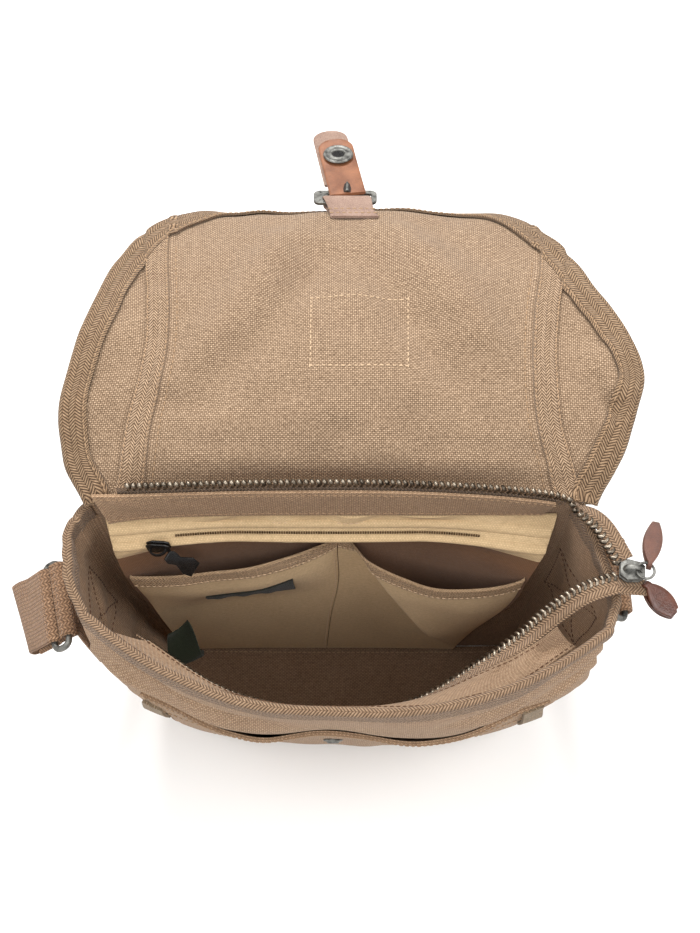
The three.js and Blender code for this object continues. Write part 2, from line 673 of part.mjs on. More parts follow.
function addZip() {
  const chain = 2.6;
  for (const [name, rows, steps, end] of [['back', BACK_ZIP, 30, 0.985], ['front', FRONT_ZIP, 30, 0.985]]) {
    const half = zipHalf(rows);
    const tape = [];
    const teeth = [];
    for (let k = 0; k <= steps; k += 1) {
      const t = (end * k) / steps;
      const middle = half(t, chain / 2 + GAP + ZIP_TAPE / 2);
      tape.push({ at: middle.at, across: middle.across.multiplyScalar(ZIP_TAPE / 2) });
      const tooth = half(t, 0);
      teeth.push({ at: tooth.at, across: tooth.across.multiplyScalar(chain / 2) });
    }
    add(`zip_tape_${name}`, band(tape, 1.2), 'tape');
    add(`zip_teeth_${name}`, band(teeth, 2), 'zipMetal');
  }

  const hidden = chain / 2 + 2 * GAP + ZIP_TAPE;
  const backHalf = zipHalf(BACK_ZIP);
  const backPlacket = (u, v, h) => {
    const t = mix(-0.026, 0.44, u);
    const top = backHalf(Math.max(t, 0), chain / 2 + 2.4).at.add(vec(Math.min(t, 0) * 500, -2.2, 0));
    const footX = top.x + 6 * (1 - u) ** 9 - 4 * u ** 9;
    const foot = vec(footX, BACK_Y - CANVAS - 3 * GAP, LINING_TOP + 1.5);
    return foot.lerp(top, v).add(vec(0, -h, 0));
  };
  add('back_placket', sheet(backPlacket, 14, 2, 0, CANVAS), 'canvas');

  const frontHalf = zipHalf(FRONT_ZIP);
  const frontPlacket = (u, v, h) => {
    const t = mix(0.02, 0.76, u);
    const free = frontHalf(t, hidden + 1).at;
    const along = mix(1.03, 1.93, u ** 0.96);
    const sewn = wall(along, rimTop(along) - 15, -CANVAS - 2 * GAP - TAPE - CANVAS);
    const sagging = 3 * Math.sin(Math.PI * v);
    return sewn.lerp(free, v).add(vec(0, h * 0.8, h * 0.6 - sagging));
  };
  add('front_placket', sheet(frontPlacket, 18, 3, 0, CANVAS), 'canvas');

  const slider = placed(vec(150, -10, 216), vec(1, -0.12, -0.04), vec(0.12, 1, 0));
  add('zip_slider', zipSlider(13, 12, 4.4), 'metal', slider);

  const ringRadius = 4.5;
  const ringAt = vec(156.4, -11.2, 219.5);
  const ring = placed(ringAt, vec(1, -0.12, 0.02), vec(0.12, 1, 0));
  add('zip_pull_ring', new THREE.TorusGeometry(ringRadius, 0.7, 6, 18), 'metal', ring);

  const leaf = (length, tip, middle) => (s) => {
    const swell = Math.sin(Math.PI * Math.min(s / length, 1)) ** 0.8;
    return tip + (middle - tip) * swell;
  };
  const pullOut = vec(-0.22, -0.97, -0.12).normalize();
  const pull = doubledStrip({
    bar: ringAt.clone().add(vec(2.3, ringRadius - 0.6, 0)),
    out: pullOut,
    up: vec(0, -0.12, 0.97).normalize(),
    side: vec(0.97, -0.22, 0),
    halfWidth: leaf(24, 1.2, 5),
    radius: 2.4,
    lower: 23,
    upper: 23,
    thickness: 1.6,
    closed: 1.2,
  });
  add('zip_pull_leather', pull, 'darkLeather');

  const endOut = vec(0.7, -0.66, -0.26).normalize();
  const endUp = vec(0.25, -0.1, 0.96).normalize();
  const endTab = doubledStrip({
    bar: vec(158.5, -16.5, 209.6),
    out: endOut.clone().negate(),
    up: endUp,
    side: endOut.clone().cross(endUp).normalize(),
    halfWidth: leaf(22, 3.4, 6),
    radius: 2.4,
    lower: 18,
    upper: 16,
    thickness: 1.8,
    closed: 1.2,
  });
  add('zip_end_tab', endTab, 'darkLeather');
}

// Wide front pocket, gaping on both sides of its middle, and the tabs at its corners
const POCKET = { from: 1.1, to: 1.9, foot: 10, middle: 150, gape: 6, belly: 3 };

function frontPocket(u, v, h) {
  const along = mix(POCKET.from, POCKET.to, u);
  const dips = 5 * bump(u, 0.28, 0.14) + 4 * bump(u, 0.68, 0.16);
  const top = POCKET.middle - dips + 6 * Math.abs(2 * u - 1) ** 3;
  const gape = bump(u, 0.27, 0.15) + 1.1 * bump(u, 0.68, 0.17);
  const belly = POCKET.belly * Math.sin(Math.PI * v) * Math.sin(Math.PI * u);
  return wall(along, mix(POCKET.foot, top, v), 1 + POCKET.gape * gape * v ** 2 + belly + h);
}

function addFrontPocket() {
  add('front_pocket', sheet(frontPocket, 20, 6, 0, CANVAS), 'canvas');
  for (const [name, along, foot] of [['left', 1.12, 122], ['right', 1.87, 128]]) {
    const corner = (u, v, h) => wall(along + mix(-0.02, 0.02, u), foot + 24 * v, h);
    add(`pocket_corner_${name}`, sheet(corner, 2, 3, 4.4, 6.4), 'webbing');
  }
  const front = frontPocket(0.47, 0.72, CANVAS + GAP + 1.2);
  const socket = placed(front, vec(1, 0, 0), vec(0, -0.25, 0.97));
  const profile = [[0, -1.2], [7, -1.2], [7, 0.2], [4.2, 0.8], [4.2, 2.4], [0, 2.4]];
  add('snap_socket', turned(profile, 14), 'metal', socket);
}

// Leather tab, buckle and closing strap at the lip of the flap
function addClosure() {
  const down = radians(-13);
  const out = vec(-0.02, Math.cos(down), Math.sin(down)).normalize();
  const up = vec(0, -Math.sin(down), Math.cos(down));
  const side = vec(1, 0, 0);
  const barAt = vec(1.5, 211.5, 246.6);
  const tab = doubledStrip({
    bar: barAt,
    out,
    up,
    side,
    halfWidth: () => 14,
    radius: 3.2,
    lower: 8,
    upper: 16,
    thickness: 1.8,
    closed: 1.4,
  });
  add('buckle_tab', tab, 'flesh');

  const frame = placed(barAt, side, out);
  const [w, l] = [37, 15];
  const bar = 2.6;
  const outer = [[-w / 2, -bar / 2], [w / 2, -bar / 2], [w / 2, l - bar / 2], [-w / 2, l - bar / 2]];
  const [inside, far] = [w / 2 - 3, l - 1.5 * bar];
  const slot = [[-inside, bar / 2], [inside, bar / 2], [inside, far], [-inside, far]];
  add('buckle_frame', extruded(outer, 2.2, [slot]), 'metal', frame);

  const strapStart = barAt.clone().addScaledVector(out, 6);
  const lean = out.clone().addScaledVector(side, -0.17).normalize();
  const across = lean.clone().cross(up).setLength(10.7);
  const layer = (from, to, above, shift, curl) => {
    const stations = [];
    for (let k = 0; k <= 12; k += 1) {
      const s = mix(from, to, k / 12);
      const near = Math.max(0, (s - (to - 9)) / 9);
      const width = Math.sqrt(1 - 0.86 * near ** 2);
      const at = strapStart.clone().addScaledVector(lean, s).addScaledVector(side, shift);
      at.addScaledVector(up, above + curl * (s / to) ** 3);
      stations.push({ at, across: across.clone().multiplyScalar(width) });
    }
    return stations;
  };
  add('closure_strap', band(layer(0, 46, 3.3, 0, 2), 2), 'leather');
  add('closure_backing', band(layer(10.8, 64, 0.9, -1.2, 1), 2), 'flesh');

  const prong = placed(barAt.clone().addScaledVector(out, 9).addScaledVector(up, 5.4), side, out);
  add('buckle_prong', extruded([[-1.2, -3.6], [1.2, -3.6], [0.7, 9], [-0.7, 9]], 1.4), 'metal', prong);

  const reach = 35.5;
  const above = 5.3 + 2 * (reach / 46) ** 3;
  const snap = placed(strapStart.clone().addScaledVector(lean, reach).addScaledVector(up, above), side, out);
  const profile = [[3.1, 0.3], [9, 0.3], [9, 0.9], [8, 1.7], [4.4, 2.1], [3.1, 1.5], [3.1, 0.3]];
  add('snap_button', turned(profile, 18), 'metal', snap);
}

// Webbing tabs on the sides: the bar of the ring each one holds, and the way from there to the strap's bar
const SIDE_TABS = table('name along foot sewn sewnY barX barY barZ swingOut swingZ skew', [
  ['left', 0.54, 110, 152, 2, -157, -4, 164, 8.8, -5.4, -0.24],
  ['right', 2.66, 112, 156, 12, 148, 12, 168, 8.2, -6.4, 0],
]);
const EYE = 3.5;

// Places off the side wall that stay clear of it over the whole width of the webbing
function wallClear(along, z, clear, outward) {
  const middle = wallAt(along, z);
  let reach = -Infinity;
  for (let k = -4; k <= 4; k += 1) {
    const near = wallAt(Math.min(Math.max(along + k * 0.09, 0), 3), z);
    reach = Math.max(reach, near.x * outward);
  }
  middle.x = outward * (reach + clear);
  return middle;
}

// Part of a turn of webbing round a bar, seen along the bar
function eye({ bar, across, out }, from, to) {
  const stations = [];
  for (let k = 0; k <= 7; k += 1) {
    const angle = radians(mix(from, to, k / 7));
    const at = bar.clone().addScaledVector(out, EYE * Math.cos(angle)).add(vec(0, 0, EYE * Math.sin(angle)));
    stations.push({ at, across });
  }
  return stations;
}

function addCarrying() {
  const wire = 4;
  const half = STRAP_WIDTH / 2;
  const strapBars = {};
  for (const tab of SIDE_TABS) {
    const outward = tab.name === 'left' ? -1 : 1;
    const across = vec(tab.skew, 1, 0).setLength(half);
    const out = vec(outward, -outward * tab.skew, 0).normalize();
    const bar = vec(tab.barX, tab.barY, tab.barZ);
    const sewn = (z, clear) => {
      const at = wallClear(tab.along, z, clear, outward).setY(tab.sewnY);
      return { at, across: vec(0, half, 0) };
    };
    const stations = [];
    for (let k = 0; k <= 4; k += 1) stations.push(sewn(mix(tab.foot, tab.sewn, k / 4), 3.1));
    stations.push(...eye({ bar, across, out }, 205, -25));
    stations.push(sewn(tab.sewn - 2, 3.1 + WEBBING + 1.4));
    add(`side_tab_${tab.name}`, band(stations, WEBBING), 'webbing');

    const swing = out.clone().multiplyScalar(tab.swingOut).add(vec(0, 0, tab.swingZ));
    const ring = placed(bar.clone().addScaledVector(swing, 0.5), across, swing);
    add(`ring_${tab.name}`, wireLoop(STRAP_WIDTH + 9, swing.length(), wire, 6), 'metal', ring);
    strapBars[tab.name] = { bar: bar.clone().add(swing), across, out };
  }
  addStrap(strapBars);
}

function addStrap({ left, right }) {
  const rows = [...STRAP_LEFT, ...STRAP_RIGHT];
  const line = spline(rows.map((row) => vec(row.x, row.y, row.z)));
  const turn = spline(rows.map((row) => vec(row.acrossX, row.acrossY, row.acrossZ)));
  const end = (hook, reach, drop) => {
    const at = hook.bar.clone().addScaledVector(hook.out, reach).add(vec(0, 0, drop));
    return { at, across: hook.across };
  };
  const stations = [end(left, 9.8, -10), ...eye(left, 222, 42)];
  const steps = 58;
  for (let k = 0; k <= steps; k += 1) {
    const across = turn.getPoint(k / steps).setLength(STRAP_WIDTH / 2);
    stations.push({ at: line.getPoint(k / steps), across });
  }
  stations.push(...eye(right, 0, 180), end(right, -2.6, -12));
  add('shoulder_strap', band(stations, WEBBING), 'webbing');
}

addBody();
addFlap();
addInside();
addZip();
addFrontPocket();
addClosure();
addCarrying();

export default bag;
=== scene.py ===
"""Canvas shoulder bag standing open with its flap thrown back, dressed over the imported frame."""
import logging
import math
from dataclasses import dataclass, field
from enum import Enum
from functools import partial
from typing import Callable, Dict, Optional, Sequence, Tuple, Union

import bmesh
import bpy
import numpy as np
from mathutils import Matrix, Vector


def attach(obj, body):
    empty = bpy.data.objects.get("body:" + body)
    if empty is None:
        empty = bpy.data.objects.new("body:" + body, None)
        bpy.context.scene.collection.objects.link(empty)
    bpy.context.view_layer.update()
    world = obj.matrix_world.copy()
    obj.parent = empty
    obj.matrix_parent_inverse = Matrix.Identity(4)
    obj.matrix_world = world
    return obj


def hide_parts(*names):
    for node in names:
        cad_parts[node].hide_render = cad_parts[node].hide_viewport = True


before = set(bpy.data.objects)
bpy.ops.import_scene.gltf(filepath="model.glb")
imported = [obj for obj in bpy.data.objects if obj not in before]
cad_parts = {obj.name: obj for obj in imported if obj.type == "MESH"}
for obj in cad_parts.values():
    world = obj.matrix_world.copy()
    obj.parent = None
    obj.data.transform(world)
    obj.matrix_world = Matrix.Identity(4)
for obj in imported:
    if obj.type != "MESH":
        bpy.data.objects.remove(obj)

LOG = logging.getLogger("bag")
MM = 0.001
BODY = "root"
UV_NAME = "cloth"
Array = np.ndarray
Surface = Callable[[Array, Array, float], Array]
Socket = bpy.types.NodeSocket
Value = Union[float, Sequence[float], Socket]
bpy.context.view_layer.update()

# Driving sizes in millimetres
BODY_HEIGHT = 215.0
BACK_Y = 34.0
CANVAS = 1.6
LINING = 1.1
TAPE = 1.0
TAPE_WIDTH = 12.5
WEBBING = 2.2
STRAP_WIDTH = 45.0
GAP = 0.4
CORNER_ROUND = 10.0

# Places along the wall where the front pocket starts and ends
POCKET_START = 1.1
POCKET_END = 1.9


class Weave(Enum):
    """How the threads of a cloth run."""

    PLAIN = "plain"
    HERRINGBONE = "herringbone"
    WEBBING = "webbing"


class Side(Enum):
    """The two sides of the bag, seen from the front."""

    LEFT = -1
    RIGHT = 1


class Table:
    """A short table of numbers with named columns, read between its rows along a smooth curve."""

    def __init__(self, names: str, rows: Sequence[Sequence[float]]) -> None:
        """Keep the column names, parted by spaces, and the rows."""
        self.names = names.split()
        self.rows = np.array(rows, dtype=float)

    def column(self, name: str) -> Array:
        """Return one column."""
        return self.rows[:, self.names.index(name)]

    def columns(self, *names: str) -> Array:
        """Return several columns side by side."""
        return np.stack([self.column(name) for name in names], axis=1)

    def smooth(self, key: str, name: str, at: Array) -> Array:
        """Read a column along a smooth curve.

        Args:
            key: Column that holds the places.
            name: Column that holds the values.
            at: Places to read.

        Returns:
            The values there.
        """
        xs, ys = self.column(key), self.column(name)
        last = len(xs) - 1
        x = np.clip(np.asarray(at, dtype=float), xs[0], xs[-1])
        i = np.searchsorted(xs[1:last], x, side="left")
        after, before = np.minimum(np.arange(last + 1) + 1, last), np.maximum(np.arange(last + 1) - 1, 0)
        slope = (ys[after] - ys[before]) / (xs[after] - xs[before])
        span = xs[i + 1] - xs[i]
        t = (x - xs[i]) / span
        value = (2 * t**3 - 3 * t**2 + 1) * ys[i] + (3 * t**2 - 2 * t**3) * ys[i + 1]
        turn = (t**3 - 2 * t**2 + t) * slope[i] + (t**3 - t**2) * slope[i + 1]
        return value + turn * span


def table(names: str, rows: Sequence[Sequence[float]]) -> Table:
    """A dataclass field that holds a table."""
    return field(default_factory=lambda: Table(names, rows))


def vec(x: Array, y: Array, z: Array) -> Array:
    """Stack coordinates into points."""
    return np.stack(np.broadcast_arrays(*(np.asarray(part, float) for part in (x, y, z))), axis=-1)


def together(*values: Array) -> Sequence[Array]:
    """Spread values to flat arrays of one length."""
    return [a.ravel() for a in np.broadcast_arrays(*(np.asarray(value, float) for value in values))]


def unit(v: Array) -> Array:
    """Scale vectors to length one."""
    return v / np.maximum(np.linalg.norm(v, axis=-1, keepdims=True), 1e-12)


def mix(a: Array, b: Array, t: Array) -> Array:
    """Blend from a to b."""
    return a + (b - a) * t


def bump(x: Array, middle: Array, width: float) -> Array:
    """A smooth hump of height one."""
    return np.exp(-(((x - middle) / width) ** 2))


def ease(x: Array) -> Array:
    """A smooth step from 0 to 1."""
    x = np.clip(x, 0, 1)
    return x * x * (3 - 2 * x)


def spline(points: Array, t: Array) -> Array:
    """Points along a smooth curve through the given points.

    Args:
        points: The points, one a row.
        t: Places from 0 to 1.

    Returns:
        The points there.
    """
    last = len(points) - 1
    place = np.clip(np.asarray(t, dtype=float), 0, 1) * last
    i = np.minimum(place.astype(int), last - 1)
    w = (place - i)[..., None]
    padded = np.concatenate([[2 * points[0] - points[1]], points, [2 * points[-1] - points[-2]]])
    p0, p1, p2, p3 = (padded[i + k] for k in range(4))
    t0, t1 = 0.5 * (p2 - p0), 0.5 * (p3 - p1)
    return p1 + t0 * w + (-3 * p1 + 3 * p2 - 2 * t0 - t1) * w**2 + (2 * p1 - 2 * p2 + t0 + t1) * w**3


def ripple(x: Array, y: Array, wavelength: float, seed: int, waves: int = 14) -> Array:
    """Soft irregular waves of about unit height.

    Args:
        x: First coordinate.
        y: Second coordinate.
        wavelength: Typical distance between crests.
        seed: Seed of the waves.
        waves: How many plain waves are summed.

    Returns:
        The height of the waves.
    """
    rng = np.random.default_rng(seed)
    total = np.zeros(np.broadcast(x, y).shape)
    for _ in range(waves):
        angle, phase = rng.uniform(0, 2 * np.pi, 2)
        number = 2 * np.pi / (wavelength * rng.uniform(0.65, 1.6))
        total = total + np.sin(number * (np.cos(angle) * x + np.sin(angle) * y) + phase)
    return total / math.sqrt(waves / 2)


def crease(x: Array, y: Array, start: Tuple[float, float], end: Tuple[float, float], width: float) -> Array:
    """A soft ridge of height one along a line that fades at both ends.

    Args:
        x: First coordinate.
        y: Second coordinate.
        start: One end of the line.
        end: The other end.
        width: Half width of the ridge.

    Returns:
        The height of the ridge.
    """
    dx, dy = end[0] - start[0], end[1] - start[1]
    length = math.hypot(dx, dy)
    along = ((x - start[0]) * dx + (y - start[1]) * dy) / length**2
    off = ((x - start[0]) * dy - (y - start[1]) * dx) / length
    fade = np.sin(np.pi * np.clip(along, 0, 1)) ** 0.7
    return np.exp(-((off / width) ** 2)) * fade


def mouth_gape(u: Array) -> Array:
    """How far the front pocket's mouth stands open across its width, up to about one."""
    return bump(u, 0.27, 0.15) + 0.85 * bump(u, 0.68, 0.17)


def lifted(surface: Callable[[Array, Array], Array], u: Array, v: Array, h: Array,
           step: float = 0.5) -> Array:
    """Points of a surface moved off it along its normal.

    Args:
        surface: The surface.
        u: First parameter.
        v: Second parameter.
        h: Height off the surface.
        step: Step for the normal.

    Returns:
        The points.
    """
    du = surface(u + step, v) - surface(u - step, v)
    dv = surface(u, v + step) - surface(u, v - step)
    return surface(u, v) + unit(np.cross(du, dv)) * np.asarray(h)[..., None]


# Finishes


def srgb(red: int, green: int, blue: int) -> Tuple[float, float, float, float]:
    """Turn a screen colour into a linear one."""
    def linear(c: float) -> float:
        """Turn one channel."""
        return c / 12.92 if c <= 0.04045 else ((c + 0.055) / 1.055) ** 2.4
    return (linear(red / 255), linear(green / 255), linear(blue / 255), 1.0)


class Graph:
    """A material's node tree, with short ways to add nodes."""

    def __init__(self, name: str) -> None:
        """Start a material with a plain surface.

        Args:
            name: Name of the material.
        """
        self.material = bpy.data.materials.new(name)
        self.material.use_nodes = True
        self.tree = self.material.node_tree
        self.surface = self.tree.nodes["Principled BSDF"]

    def node(self, kind: str, inputs: Optional[Dict] = None, **settings) -> bpy.types.Node:
        """Add a node.

        Args:
            kind: Type of the node.
            inputs: Values or sockets by input name or number.
            **settings: Properties of the node.

        Returns:
            The node.
        """
        node = self.tree.nodes.new(kind)
        for key, value in settings.items():
            setattr(node, key, value)
        for key, value in (inputs or {}).items():
            self.feed(node.inputs[key], value)
        return node

    def feed(self, socket: Socket, value: Value) -> None:
        """Link a socket to a socket, or set its value."""
        if isinstance(value, Socket):
            self.tree.links.new(value, socket)
        else:
            socket.default_value = value

    def math(self, operation: str, a: Value, b: Value = 0.0) -> Socket:
        """Add a sum of two numbers."""
        return self.node("ShaderNodeMath", {0: a, 1: b}, operation=operation).outputs[0]

    def arches(self, value: Value) -> Socket:
        """Add a row of arches, each one wide and one high."""
        return self.math("ABSOLUTE", self.math("SINE", self.math("MULTIPLY", value, math.pi)))

    def noise(self, vector: Value, scale: float, detail: float = 2.0, rough: float = 0.5) -> Socket:
        """Add a noise and return its height."""
        inputs = {"Vector": vector, "Scale": scale, "Detail": detail, "Roughness": rough}
        return self.node("ShaderNodeTexNoise", inputs).outputs["Fac"]

    def spread(self, value: Value, low: float, high: float, to_low: float, to_high: float) -> Socket:
        """Map a range of a number to another range."""
        return self.node("ShaderNodeMapRange", {0: value, 1: low, 2: high, 3: to_low, 4: to_high}).outputs[0]

    def tint(self, amount: Value, a: Value, b: Value, blend: str = "MIX") -> Socket:
        """Blend two colours.

        Args:
            amount: Share of the second colour.
            a: First colour.
            b: Second colour.
            blend: How the two are blended.

        Returns:
            The blended colour.
        """
        node = self.node("ShaderNodeMix", data_type="RGBA", blend_type=blend)
        self.feed(node.inputs[0], amount)
        self.feed(node.inputs[6], a)
        self.feed(node.inputs[7], b)
        return node.outputs[2]

    def raise_by(self, height: Value, distance: float, strength: float) -> None:
        """Let a height bump the surface."""
        node = self.node("ShaderNodeBump", {"Height": height, "Distance": distance, "Strength": strength})
        self.feed(self.surface.inputs["Normal"], node.outputs[0])

    def set(self, **values) -> None:
        """Set plain values on the surface."""
        for name, value in values.items():
            self.surface.inputs[name.replace("_", " ")].default_value = value


@dataclass(frozen=True)
class ClothFinish:
    """A woven cloth."""

    name: str
    slot: str
    colour: Tuple[int, int, int]
    pale: Tuple[int, int, int]
    relief: float
    depth: float
    pitch: Tuple[float, float] = (1.12, 1.0)
    weave: Weave = Weave.PLAIN

    def threads(self, g: Graph, x: Value, y: Value) -> Socket:
        """Height of the threads.

        Args:
            g: Node tree of the material.
            x: Distance across in millimetres.
            y: Distance along in millimetres.

        Returns:
            A height from 0 to 1.
        """
        x, y = g.math("DIVIDE", x, self.pitch[0]), g.math("DIVIDE", y, self.pitch[1])
        if self.weave is Weave.HERRINGBONE:
            zig = g.math("PINGPONG", x, 1.0)
            slant = g.math("ADD", y, g.math("MULTIPLY", zig, 1.7))
            line = g.arches(slant)
            spine = g.arches(x)
            return g.math("MULTIPLY", line, g.spread(spine, 0.0, 0.35, 0.55, 1.0))
        if self.weave is Weave.WEBBING:
            zig = g.math("PINGPONG", x, 1.0)
            slant = g.math("ADD", y, g.math("MULTIPLY", zig, 0.9))
            bead = g.arches(slant)
            ridge = g.arches(x)
            return g.math("MULTIPLY", g.math("POWER", bead, 0.7), g.spread(ridge, 0.0, 0.6, 0.35, 1.0))
        over = g.math("FLOORED_MODULO", g.math("ADD", g.math("FLOOR", x), g.math("FLOOR", y)), 2.0)
        warp = g.arches(x)
        weft = g.arches(y)
        under = g.math("MULTIPLY", g.math("SUBTRACT", 1.0, over), 0.5)
        weft = g.math("MULTIPLY", weft, g.spread(warp, 0.0, 1.0, 0.6, 1.0))
        return g.math("ADD", g.math("MULTIPLY", over, weft), g.math("MULTIPLY", under, warp))

    def material(self) -> bpy.types.Material:
        """Build the cloth's material."""
        g = Graph(self.name)
        uv = g.node("ShaderNodeUVMap", uv_map=UV_NAME).outputs[0]
        scaled = g.node("ShaderNodeVectorMath", {0: uv, "Scale": 1 / MM}, operation="SCALE").outputs[0]
        parts = g.node("ShaderNodeSeparateXYZ", {0: scaled})
        height = self.threads(g, parts.outputs[0], parts.outputs[1])
        wear = g.noise(uv, 34.0, 4.0, 0.6)
        drawn = g.node("ShaderNodeMapping", {"Vector": uv, "Scale": (260.0, 700.0, 1.0)}).outputs[0]
        slub = g.noise(drawn, 1.0, 2.0)
        fleck = g.noise(uv, 620.0, 2.0, 0.7)
        shade = g.tint(g.spread(wear, 0.2, 0.8, 0.0, 1.0), srgb(*self.colour), srgb(*self.pale))
        # Painted shade: the colour darkens where the threads lie low, by up to depth; slub and fleck vary the
        # tone at random, and the darker parts turn warmer.
        dark = g.spread(height, 0.0, 1.0, 1.0 - self.depth, 1.06)
        uneven = 0.27 * self.depth
        dark = g.math("MULTIPLY", dark, g.spread(slub, 0.25, 0.75, 1 - uneven, 1 + uneven))
        dark = g.math("MULTIPLY", dark, g.spread(fleck, 0.3, 0.7, 1 - uneven, 1 + uneven))
        warm = {0: g.math("POWER", dark, 0.9), 1: dark, 2: g.math("POWER", dark, 1.1)}
        grey = g.node("ShaderNodeCombineColor", warm).outputs[0]
        g.feed(g.surface.inputs["Base Color"], g.tint(1.0, shade, grey, "MULTIPLY"))
        full = g.math("ADD", height, g.math("MULTIPLY", fleck, 0.5))
        g.raise_by(full, self.relief * MM, 0.8)
        g.feed(g.surface.inputs["Roughness"], g.spread(wear, 0.2, 0.8, 0.82, 0.98))
        g.set(Sheen_Weight=0.12, Sheen_Roughness=0.5)
        g.surface.inputs["Specular IOR Level"].default_value = 0.2
        return g.material


@dataclass(frozen=True)
class LeatherFinish:
    """Leather, from its grain side or its flesh side."""

    name: str
    slot: str
    colour: Tuple[int, int, int]
    dark: Tuple[int, int, int]
    roughness: float
    pebble: float
    relief: float
    speckle: float = 0.3

    def material(self) -> bpy.types.Material:
        """Build the leather's material."""
        g = Graph(self.name)
        at = g.node("ShaderNodeTexCoord").outputs["Object"]
        cells = g.node("ShaderNodeTexVoronoi", {"Vector": at, "Scale": self.pebble}).outputs["Distance"]
        cloudy = g.noise(at, 90.0, 4.0, 0.6)
        fine = g.noise(at, 2400.0, 3.0, 0.7)
        mottled = g.math("ADD", g.math("MULTIPLY", cloudy, 1 - self.speckle),
                         g.math("MULTIPLY", fine, self.speckle))
        tone = g.tint(g.spread(mottled, 0.32, 0.68, 0.0, 1.0), srgb(*self.dark), srgb(*self.colour))
        g.feed(g.surface.inputs["Base Color"], tone)
        g.raise_by(g.math("ADD", cells, g.math("MULTIPLY", fine, 0.8)), self.relief * MM, 0.5)
        low, high = self.roughness - 0.1, self.roughness + 0.12
        g.feed(g.surface.inputs["Roughness"], g.spread(cloudy, 0.3, 0.7, low, high))
        return g.material


@dataclass(frozen=True)
class MetalFinish:
    """Antique metal, dark and rubbed bright in random patches."""

    name: str
    slot: str
    colour: Tuple[int, int, int]
    dark: Tuple[int, int, int]
    roughness: float
    metallic: float = 1.0

    def material(self) -> bpy.types.Material:
        """Build the metal's material."""
        g = Graph(self.name)
        at = g.node("ShaderNodeTexCoord").outputs["Object"]
        patina = g.noise(at, 260.0, 5.0, 0.65)
        fine = g.noise(at, 1800.0, 3.0, 0.6)
        tone = g.tint(g.spread(patina, 0.36, 0.6, 0.0, 1.0), srgb(*self.dark), srgb(*self.colour))
        g.feed(g.surface.inputs["Base Color"], tone)
        low, high = self.roughness - 0.1, self.roughness + 0.14
        g.feed(g.surface.inputs["Roughness"], g.spread(fine, 0.3, 0.7, low, high))
        g.raise_by(fine, 0.05 * MM, 0.4)
        g.set(Metallic=self.metallic)
        return g.material


